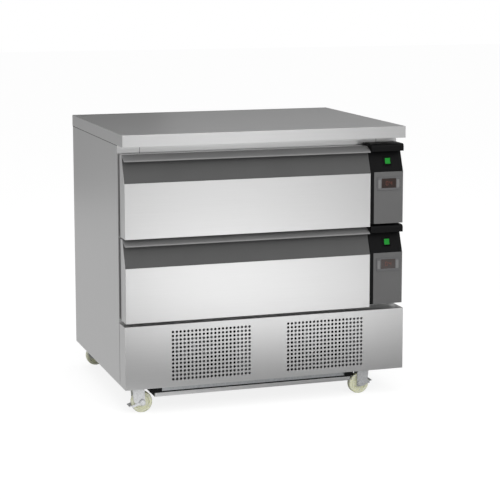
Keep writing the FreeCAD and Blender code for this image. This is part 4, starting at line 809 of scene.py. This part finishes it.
class COUNTER_OT_thermostats(bpy.types.Operator):
    """Makes the thermostats: rounded front, smoked window with digits, and two key strips"""

    bl_idname = "counter.thermostats"
    bl_label = "Thermostats"

    def execute(self, context):
        s = sizes()
        low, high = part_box("thermostats")
        pitch = (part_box("upper_left_key")[0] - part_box("lower_left_key")[0]).z
        half = Vector((s.window_width / 2, 0, s.window_height / 2))
        for level in LEVELS:
            rise = pitch if level == "upper" else 0
            foot, head = low.z + rise, high.z - pitch + rise
            middle = Vector(((low.x + high.x) / 2, low.y, (foot + head) / 2 + s.window_lift))
            self.front(level, Vector((low.x, low.y, foot)), Vector((high.x, high.y, head)), middle, half)
            self.window(level, middle, half)
            self.digits(level, middle)
            self.keys(level)
        return {"FINISHED"}

    def front(self, level, low, high, middle, half):
        """The front plate with wells for window and keys, and the case behind it."""
        back = low.y + sizes().thermostat_plate
        corner, softness = 4 * MM, 0.7 * MM
        window_depth, key_floor, key_play = 0.9 * MM, 0.3 * MM, 0.25 * MM
        body = block(f"{level}_thermostat", low, (high.x, back, high.z))
        bevel_edges(body, lambda p, way: abs(way.y) > SQUARE, corner, 4)
        round_all(body, softness, 3, 60)
        out = Vector((0, MM, 0))
        carve(body, block("window", middle - half - out, middle + half + Vector((0, window_depth, 0))))
        for side in ("left", "right"):
            key_low, key_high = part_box(f"{level}_{side}_key")
            well_low = (key_low.x - key_play, low.y - MM, key_low.z - key_play)
            well_high = (key_high.x + key_play, back - key_floor, key_high.z + key_play)
            carve(body, block("well", well_low, well_high))
        lap, bite = Vector((3.5 * MM, 0, 5.5 * MM)), 0.1 * MM
        weld(body, block("case", (low.x + lap.x, back - bite, low.z + lap.z), high - lap))
        finish(body, "grey_plastic", "cabinet", *shared(level, "thermostats"))

    def window(self, level, middle, half):
        thick, softness = 0.8 * MM, 0.3 * MM
        pane = block(f"{level}_window", middle - half, middle + half + Vector((0, thick, 0)))
        bevel_edges(pane, lambda p, way: p.y < middle.y + SMALL, softness, 2)
        finish(pane, "dark_window", "cabinet", *shared(level, "display_windows"))

    def digits(self, level, middle):
        """Two seven-segment digits, a plain number."""
        tall = sizes().digit_height
        wide, bar = tall * 0.55, tall * 0.1
        pitch = wide * 1.9
        sunk, thick, softness = 0.05 * MM, 0.1 * MM, 0.04 * MM
        # segments of a digit: place across and up in half digits, and whether it lies flat
        spots = {
            "a": (0, 1, True),
            "b": (1, 0.5, False),
            "c": (1, -0.5, False),
            "d": (0, -1, True),
            "e": (-1, -0.5, False),
            "f": (-1, 0.5, False),
            "g": (0, 0, True),
        }
        pieces = []
        for number, segments in enumerate(("abcdef", "bcfg")):
            x = middle.x + (number - 0.5) * pitch
            for name in segments:
                across, up, flat = spots[name]
                half = (wide / 2 - bar * 0.6, bar / 2) if flat else (bar / 2, tall / 4 - bar * 0.2)
                spot = Vector((x + across * wide / 2, middle.y - sunk, middle.z + up * tall / 2))
                reach = Vector((half[0], thick, half[1]))
                pieces.append(block("segment", spot - reach, spot + reach))
        bpy.ops.object.select_all(action="DESELECT")
        for piece in pieces:
            piece.select_set(True)
        bpy.context.view_layer.objects.active = pieces[0]
        bpy.ops.object.join()
        pieces[0].name = pieces[0].data.name = f"{level}_digits"
        round_all(pieces[0], softness, 1)
        finish(pieces[0], "digits", "cabinet", slot="dark_window")

    def keys(self, level):
        """Key strips with rounded corners."""
        for side in ("left", "right"):
            low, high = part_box(f"{level}_{side}_key")
            key = block(f"{level}_{side}_key_cap", low, high)
            corner, softness = 1.5 * MM, 0.3 * MM
            bevel_edges(key, lambda p, way: abs(way.y) > SQUARE, corner, 3)
            round_all(key, softness, 2, 60)
            finish(key, "light_plastic", f"{level}_{side}_button", f"{level}_{side}_key")


class COUNTER_OT_switches(bpy.types.Operator):
    """Makes the lit rockers and the frames round them, on the leaning face"""

    bl_idname = "counter.switches"
    bl_label = "Switches"

    def execute(self, context):
        for level in LEVELS:
            spot, lean = switch_spot(level)
            self.frame(level, spot, lean)
            self.rocker(level, spot, lean)
        return {"FINISHED"}

    def frame(self, level, spot, lean):
        """A raised rim round a well, and the switch case behind it."""
        s = sizes()
        play, shoulder, floor, softness, corner = 0.3 * MM, 1.6 * MM, 2 * MM, 0.5 * MM, 1.2 * MM
        half = Vector((s.switch_width / 2 + s.switch_frame, 0, s.switch_length / 2 + s.switch_frame))
        back = spot.y
        bezel = block(f"{level}_switch_frame", spot - half - Vector((0, s.switch_proud, 0)), spot + half)
        pick(bezel, "FACE", lambda p, n: n.y < -SQUARE)
        inset(s.switch_frame - play)
        extrude((0, s.switch_proud + s.switch_well, 0))
        leave()
        pick(bezel, "FACE", lambda p, n: n.y > SQUARE and abs(p.y - back) < SMALL)
        inset(shoulder)
        extrude((0, s.switch_well + floor, 0))
        leave()
        front, side = back - s.switch_proud + SMALL, half.x - SMALL * 4

        def on_corner(p, way):
            return abs(way.y) > SQUARE and p.y < back and abs(p.x - spot.x) > side

        bevel_edges(bezel, lambda p, way: p.y < front, softness, 3)
        bevel_edges(bezel, on_corner, corner, 4)
        turn_about(bezel, spot, -lean)
        finish(bezel, "black_plastic", "cabinet", *shared(level, "switch_bezels"))

    def rocker(self, level, spot, lean):
        """A valley-shaped rocker with a dark rim, tipped to its upper end, with a line and a ring on it."""
        s = sizes()
        behind, softness, lens_proud = 1 * MM, 0.5 * MM, 0.2 * MM
        pin = spot + Vector((0, s.rocker_pin, 0))
        rise = s.rocker_pin + s.switch_proud
        half = Vector((s.switch_width / 2, 0, s.switch_length / 2 - s.rocker_play))
        dip = half.z * math.tan(s.rocker_tip)
        low = pin - half - Vector((0, rise + dip, 0))
        rocker = block(f"{level}_rocker", low, pin + half + Vector((0, behind, 0)))
        grasp(rocker)
        bpy.ops.mesh.bisect(plane_co=pin, plane_no=(0, 0, 1))
        leave()
        pick(rocker, "VERT", lambda p: abs(p.z - pin.z) < SMALL and p.y < pin.y)
        move((0, dip, 0))
        leave()
        bevel_edges(rocker, lambda p, way: p.y < pin.y - rise + SMALL and p.z != pin.z, softness, 3)
        pick(rocker, "FACE", lambda p, n: n.y < -SQUARE)
        inset(s.rocker_rim, -lens_proud)
        leave()
        lens = half - Vector((s.rocker_rim, 0, s.rocker_rim))

        def on_lens(p, n):
            return n.y < -SQUARE and abs(p.x - pin.x) < lens.x and abs(p.z - pin.z) < lens.z

        marks = self.marks(level, pin, rise, half)
        finish(rocker, "black_plastic", f"{level}_switch", f"{level}_power_switch", slot="green_plastic")
        repaint(rocker, "green_plastic", on_lens)
        for piece in (rocker, *marks):
            turn_about(piece, pin, s.rocker_tip - lean)
        for piece in marks:
            finish(piece, "marks", f"{level}_switch", slot="light_plastic")

    def marks(self, level, pin, rise, half):
        """The plain on and off signs, thin pads that lie on the two slopes."""
        s = sizes()
        line, thick, size, ring, proud, softness = 0.7 * MM, 0.1 * MM, 3.4 * MM, 1 * MM, 0.02 * MM, 0.04 * MM
        pieces = []
        for way in (1, -1):
            spot = pin + Vector((0, -rise - proud, half.z * 0.55 * way))
            if way > 0:
                reach = Vector((line, thick, size))
                mark = block(f"{level}_on_mark", spot - reach, spot + reach)
                round_all(mark, softness, 1)
            else:
                mark = rod(f"{level}_off_mark", spot, size, thick * 2, "Y", sides=32)
                pick(mark, "FACE", lambda p, n: abs(n.y) > SQUARE)
                inset(ring)
                bpy.ops.mesh.bridge_edge_loops()
                leave()
            turn_about(mark, pin - Vector((0, rise, 0)), -s.rocker_tip * way)
            pieces.append(mark)
        return pieces


def switch_spot(level):
    """Where the middle of a switch meets the leaning face of its column, and how far that leans."""
    s = sizes()
    low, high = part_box(f"{level}_control_housing")
    fascia_low, fascia_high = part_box("control_fascias")
    rise = high.z - s.hood_height - low.z - s.column_seam
    lean = math.atan2(s.column_lean, rise)
    along = rise / 2 + s.switch_rise
    x = (fascia_low.x + fascia_high.x) / 2
    y = fascia_high.y + along * math.sin(lean)
    z = low.z + s.column_seam + along * math.cos(lean)
    return Vector((x, y, z)), lean


class COUNTER_OT_castors(bpy.types.Operator):
    """Makes one castor of wheel, pressed fork and axle bolt, copies it to the others, and adds the pedals"""

    bl_idname = "counter.castors"
    bl_label = "Castors"

    def execute(self, context):
        first = CASTORS[0]
        swivels = {name: self.swivel(name) for name in CASTORS}
        made = {
            "wheel": self.wheel(first),
            "fork": self.fork(first, swivels[first]),
            "axle": self.axle(first),
            "pedal": self.pedal(first),
        }
        pieces = [(first, kind, piece) for kind, piece in made.items()]
        for name in CASTORS[1:]:
            for kind, piece in made.items():
                if kind == "pedal" and not name.startswith("front"):
                    continue
                twin = copy_of(piece, f"{name}_{kind}", swivels[name] - swivels[first])
                if name.endswith("right"):
                    turn_about(twin, swivels[name], math.pi, "Z")
                pieces.append((name, kind, twin))
        for name, kind, piece in pieces:
            self.dress(name, kind, piece)
        return {"FINISHED"}

    def swivel(self, name):
        """Where the swivel axis meets the floor."""
        way = 1 if name.endswith("left") else -1
        middle = middle_of(f"{name}_castor_wheel")
        return Vector((middle.x - sizes().castor_trail * way, middle.y, 0))

    def dress(self, name, kind, piece):
        """Turns a pedal to its place at rest, and gives each piece its finish and its body."""
        s = sizes()
        axle = middle_of(f"{name}_castor_wheel")
        if kind == "wheel":
            finish(piece, "wheel_nylon", f"{name}_wheel", f"{name}_castor_wheel")
        elif kind == "fork":
            finish(piece, "zinc", f"{name}_fork", f"{name}_castor_fork")
        elif kind == "axle":
            finish(piece, "zinc", f"{name}_fork")
            # the washers are painted black: painted shadow round the head and the nut
            edge = s.bolt_radius + 0.2 * MM
            repaint(piece, "compressor_black", lambda p, n: math.hypot(p.x - axle.x, p.z - axle.z) > edge)
        else:
            tip = -s.pedal_down if name.endswith("left") else s.pedal_up
            turn_about(piece, axle, tip, "Y")
            finish(piece, "zinc", f"{name}_brake", f"{name}_brake_pedal")

    def wheel(self, name):
        """A turned wheel: rounded tread, recessed web and a hub."""
        s = sizes()
        tyre, flank, recess, web, step, hub = 9 * MM, 2 * MM, 4 * MM, 9 * MM, 1 * MM, 5.7 * MM
        middle = middle_of(f"{name}_castor_wheel")
        wheel = rod(f"{name}_wheel", middle, s.wheel_radius, s.wheel_width, "Y", sides=64)
        pick(wheel, "FACE", lambda p, n: abs(n.y) > SQUARE)
        for thickness, depth in ((tyre, 0), (flank, -recess), (web, 0), (step, hub)):
            inset(thickness, depth)
        leave()
        rim = s.wheel_radius - SMALL * 4

        def on_rim(p, way):
            side = abs(abs(p.y - middle.y) - s.wheel_width / 2) < SMALL
            return side and math.hypot(p.x - middle.x, p.z - middle.z) > rim

        bevel_edges(wheel, on_rim, s.tyre_round, 4)
        return wheel

    def fork(self, name, swivel):
        """A pressed fork: crown, two tapering legs with round ends, and the race's cup on top."""
        s = sizes()
        fold, inner_fold, softness, past = 3 * MM, 1.5 * MM, 0.4 * MM, 50 * MM
        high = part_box(f"{name}_castor_fork")[1]
        axle = middle_of(f"{name}_castor_wheel")
        gap = s.fork_gap / 2
        half = gap + s.fork_wall
        crown = high.z - s.race_rise
        shoulder = crown - s.fork_shoulder
        front, rear = swivel.x - s.fork_front, swivel.x + s.fork_rear
        fork = block(f"{name}_fork", (front, swivel.y - half, shoulder), (rear, swivel.y + half, crown))
        pick(fork, "FACE", lambda p, n: n.z < -SQUARE)
        extrude((0, 0, axle.z - s.fork_boss - shoulder))
        leave()
        foot = axle.z - s.fork_boss + SMALL
        pick(fork, "VERT", lambda p: p.z < foot and p.x < swivel.x)
        move((s.fork_taper, 0, 0))
        leave()
        pick(fork, "VERT", lambda p: p.z < foot and p.x > axle.x)
        move((axle.x + s.fork_boss - rear, 0, 0))
        leave()
        between = axle.x - 8 * MM
        nearly_round = s.fork_boss - 0.1 * MM
        for way, width in ((-1, s.fork_toe), (1, nearly_round)):
            bevel_edges(
                fork,
                lambda p, run: p.z < foot and abs(run.y) > SQUARE and (p.x - between) * way > 0,
                width,
                8,
            )
        bevel_edges(fork, lambda p, way: p.z > crown - SMALL and abs(way.y) > SQUARE, fold, 4)
        inside_high = (rear + past, swivel.y + gap, crown - s.fork_wall)
        inside = block("inside", (front - past, swivel.y - gap, 0), inside_high)
        bevel_edges(inside, lambda p, way: p.z > SMALL and abs(way.x) > SQUARE, inner_fold, 3)
        carve(fork, inside)
        cup = rod("cup", (swivel.x, swivel.y, crown + s.race_rise / 2), s.race_radius, s.race_rise, "Z", 48)
        weld(fork, cup)
        round_all(fork, softness, 2, 50)
        return fork

    def axle(self, name):
        """The axle bolt: hexagonal head and nut with their chamfers and washers, and the shank between."""
        s = sizes()
        chamfer, washer_depth, softness = 0.9 * MM, 0.8 * MM, 0.25 * MM
        axle = middle_of(f"{name}_castor_wheel")
        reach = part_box(f"{name}_castor_fork")[1].y - axle.y - s.bolt_head / 2
        bolt = rod(f"{name}_axle", axle, s.axle_radius, reach * 2, "Y", 24)
        for way in (-1, 1):
            spot = axle + Vector((0, reach * way, 0))
            nut = rod("nut", spot, s.bolt_radius, s.bolt_head, "Y", 6)
            outside = spot.y * way + (s.bolt_head / 2 - SMALL)
            bevel_edges(nut, lambda p, run: p.y * way > outside, chamfer, 2)
            washer = spot - Vector((0, s.bolt_head / 2 * way, 0))
            weld(bolt, nut, rod("washer", washer, s.washer_radius, washer_depth, "Y", 32))
        round_all(bolt, softness, 1, 40)
        return bolt

    def pedal(self, name):
        """The brake pedal: two straps beside the fork, a bent tread with ribs between them."""
        s = sizes()
        axle = middle_of(f"{name}_castor_wheel")
        inner = s.fork_gap / 2 + s.fork_wall + s.pedal_play
        outer = inner + s.pedal_wall
        arm = s.pedal_arm
        past, ridge, softness = 20 * MM, 0.6 * MM, 0.3 * MM
        tip = axle.x - s.pedal_reach
        tread = tip + s.pedal_tread
        straps = rod(f"{name}_pedal", axle, s.pedal_boss, outer * 2, "Y", 48)
        bar = block("bar", (tip, axle.y - outer, axle.z - arm), (axle.x, axle.y + outer, axle.z + arm))
        weld(straps, bar)
        cheek_high = (axle.x + 1.5 * past, axle.y + inner, axle.z + past)
        cheeks = block("cheeks", (tread, axle.y - inner, axle.z - past), cheek_high)
        under_low = (tip - MM, axle.y - outer - MM, axle.z - arm - MM)
        under = block("under", under_low, (tread, axle.y + outer + MM, axle.z + arm - s.pedal_wall))
        bore = rod("bore", axle, s.axle_radius, outer * 3, "Y", 32)
        carve(straps, cheeks, under, bore)
        half = Vector((ridge, inner, ridge))
        for share in (0.2, 0.5, 0.8):
            crest = Vector((tip + s.pedal_tread * share, axle.y, axle.z + arm))
            rib = block("rib", crest - half, crest + Vector((half.x, half.y, 0)))
            turn_about(rib, crest, math.radians(45), "Y")
            weld(straps, rib)
        round_all(straps, softness, 2, 50)
        return straps


class COUNTER_OT_stage(bpy.types.Operator):
    """Sets the floor, the cards, the lamps, the world and the camera"""

    bl_idname = "counter.stage"
    bl_label = "Stage"

    # the lowest card above the floor, and each further layer above the last
    LIFT = 2 * MM

    def execute(self, context):
        self.floor()
        self.cards()
        # place, size and power of each lamp; steel doesn't mirror the key lamp
        key = self.lamp("key_lamp", (1.6, -4.2, 2.6), 3.0, 70)
        key.visible_glossy = False
        self.lamp("top_lamp", (-0.5, -0.5, 4.0), 3.5, 45)
        self.lamp("fill_lamp", (-3.0, -3.5, 1.6), 2.5, 20)
        self.world(context.scene)
        self.camera(context.scene)
        return {"FINISHED"}

    def floor(self):
        bpy.ops.object.select_all(action="DESELECT")
        bpy.ops.mesh.primitive_plane_add(size=40, location=(0, 0, 0))
        floor = bpy.context.object
        floor.name = "floor"
        material = bpy.data.materials.new("White floor")
        tree = blank(material)
        matt = add_node(tree, "ShaderNodeBsdfDiffuse", {"Color": (0.8, 0.8, 0.8, 1)})
        soft = add_node(tree, "ShaderNodeBsdfDiffuse", {"Color": (0.22, 0.22, 0.22, 1)})
        glow = add_node(tree, "ShaderNodeEmission", {"Strength": 0.85})
        both = add_node(tree, "ShaderNodeAddShader", None, soft.outputs[0], glow.outputs[0])
        add_node(tree, "ShaderNodeOutputMaterial", Surface=by_ray(tree, matt, both))
        floor.data.materials.append(material)

    def cards(self):
        """Cards behind and in front of the counter, and cards on the floor in front, seen in the drawers."""
        upright, flat = (math.pi / 2, 0, 0), (0, 0, 0)
        # side, middle from left to right, width and brightness
        behind = (("left", -3.3, 4.8, 0.4), ("middle", 0, 1.8, 0), ("right", 2.9, 4, 0.15))
        before = (("left", -1.7, 8, 0.6), ("middle", 3.05, 1.4, 2.6), ("right", 7.3, 7, 0.28))
        for side, x, width, glow in behind:
            self.card(f"back_card_{side}", (x, 4.2, 1.4), upright, (width, 3.2), glow)
        self.card("side_floor_card", (-1.65, 2.0, self.LIFT), flat, (2.4, 5.2), 0.6)
        self.card("under_card", (0, 0, self.LIFT), flat, (0.9, 0.66), 0.02)
        for side, x, width, glow in before:
            self.card(f"front_card_{side}", (x, -10, 1.8), upright, (width, 4.4), glow)
        self.mirror_card("front_field", 0, (0.02, 0.95), 5, 0.3, 1)
        # heights on the front where each band is seen: cover, lower drawer, upper drawer, worktop's edge
        bands = ((0.19, 0.27), (0.27, 0.49), (0.49, 0.79), (0.79, 0.92))
        # place along the front, width at the cover, and the brightness in each band
        for x, width, *glows in (
            (-0.36, 0.5, 0.65, 1.9, 0.2, 0.3),
            (-0.06, 0.75, 1.7, 2.7, 1.4, 2.6),
            (0.27, 0.6, 1.0, 1.4, 0.05, 0.0),
        ):
            for number, (band, glow) in enumerate(zip(bands, glows)):
                name = f"front_card_{int(x * 100)}_{number}"
                self.mirror_card(name, x, band, width * (1 + number * 0.3), glow, 2 + number)

    def mirror_card(self, name, x, band, width, glow, layer):
        """A card on the floor where the front mirrors it, at x and between two heights."""
        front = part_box("machine_cover")[0].y
        way = Vector((x - EYE.x, EYE.y - front))
        near, far = (height / (EYE.z - height) for height in band)
        middle = Vector((x, front)) + way * (near + far) / 2
        turn = (0, 0, math.atan2(way.y, way.x) + math.pi / 2)
        self.card(name, (*middle, self.LIFT * layer), turn, (width, way.length * (far - near)), glow)

    def card(self, name, place, turn, size, glow):
        """An even card that only steel reflects; the picture and the soft light don't see it."""
        bpy.ops.object.select_all(action="DESELECT")
        bpy.ops.mesh.primitive_plane_add(size=1, location=place, rotation=turn)
        card = bpy.context.object
        card.name = name
        card.scale = (*size, 1)
        card.visible_camera = card.visible_shadow = card.visible_diffuse = False
        material = bpy.data.materials.new(name)
        tree = blank(material)
        even = add_node(tree, "ShaderNodeEmission", {"Strength": glow})
        add_node(tree, "ShaderNodeOutputMaterial", Surface=even.outputs[0])
        card.data.materials.append(material)

    def lamp(self, name, place, size, power):
        """A square soft lamp that looks at the middle of the counter."""
        data = bpy.data.lights.new(name, "AREA")
        data.shape = "SQUARE"
        data.size = size
        data.energy = power
        lamp = bpy.data.objects.new(name, data)
        bpy.context.scene.collection.objects.link(lamp)
        lamp.location = place
        way = Vector((0, 0, 0.45)) - Vector(place)
        lamp.rotation_euler = way.to_track_quat("-Z", "Y").to_euler()
        return lamp

    def world(self, scene):
        """A white world for the picture, and a dimmer one for the light."""
        scene.world = bpy.data.worlds.new("studio")
        tree = blank(scene.world)
        white = add_node(tree, "ShaderNodeBackground", {"Color": (1, 1, 1, 1), "Strength": 1.0})
        fill = add_node(tree, "ShaderNodeBackground", {"Color": (1, 1, 1, 1), "Strength": 0.6})
        add_node(tree, "ShaderNodeOutputWorld", Surface=by_ray(tree, fill, white))
        scene.view_settings.view_transform = "Standard"

    def camera(self, scene):
        """The photograph's camera: long lens, from the left and a little above."""
        azimuth, tilt = math.radians(18.62), math.radians(8)
        data = bpy.data.cameras.new("camera")
        data.sensor_width = 36
        data.lens = 117.65
        data.shift_x = -0.0302
        data.shift_y = -0.1136
        camera = bpy.data.objects.new("camera", data)
        scene.collection.objects.link(camera)
        camera.location = EYE
        camera.rotation_euler = (math.pi / 2 - tilt, 0, -azimuth)
        scene.camera = camera


def blank(owner):
    """The empty node tree of a new material or world."""
    owner.use_nodes = True
    owner.node_tree.nodes.clear()
    return owner.node_tree


def by_ray(tree, light, picture):
    """One shader for the soft light, and another for rays from the camera, in metal and through glass."""
    path = add_node(tree, "ShaderNodeLightPath")
    seen = path.outputs["Is Camera Ray"]
    for kind in ("Is Glossy Ray", "Is Transmission Ray"):
        seen = add_node(tree, "ShaderNodeMath", {"operation": "MAXIMUM"}, seen, path.outputs[kind]).outputs[0]
    mix = add_node(tree, "ShaderNodeMixShader", None, seen, light.outputs[0], picture.outputs[0])
    return mix.outputs[0]


class COUNTER_PT_panel(bpy.types.Panel):
    """Builds the counter piece by piece"""

    bl_idname = "COUNTER_PT_panel"
    bl_label = "Refrigerated counter"
    bl_space_type = "VIEW_3D"
    bl_region_type = "UI"
    bl_category = "Counter"

    def draw(self, context):
        for operator in OPERATORS:
            self.layout.operator(operator.bl_idname)
        for group in (sizes(), colours()):
            for name in group.bl_rna.properties.keys():
                if name not in ("name", "rna_type"):
                    self.layout.prop(group, name)


OPERATORS = (
    COUNTER_OT_cad_finish,
    COUNTER_OT_worktop,
    COUNTER_OT_machine_cover,
    COUNTER_OT_seams,
    COUNTER_OT_base,
    COUNTER_OT_drawer_fronts,
    COUNTER_OT_grips,
    COUNTER_OT_control_housings,
    COUNTER_OT_fascias,
    COUNTER_OT_thermostats,
    COUNTER_OT_switches,
    COUNTER_OT_castors,
    COUNTER_OT_stage,
)
CLASSES = (CounterSizes, CounterColours, *OPERATORS, COUNTER_PT_panel)


def register():
    for item in CLASSES:
        bpy.utils.register_class(item)
    bpy.types.Scene.counter_sizes = bpy.props.PointerProperty(type=CounterSizes)
    bpy.types.Scene.counter_colours = bpy.props.PointerProperty(type=CounterColours)


def unregister():
    del bpy.types.Scene.counter_colours
    del bpy.types.Scene.counter_sizes
    for item in reversed(CLASSES):
        bpy.utils.unregister_class(item)


def main():
    register()
    for operator in OPERATORS:
        name = operator.bl_idname.split(".")[1]
        getattr(bpy.ops.counter, name)()


if __name__ == "__main__":
    main()
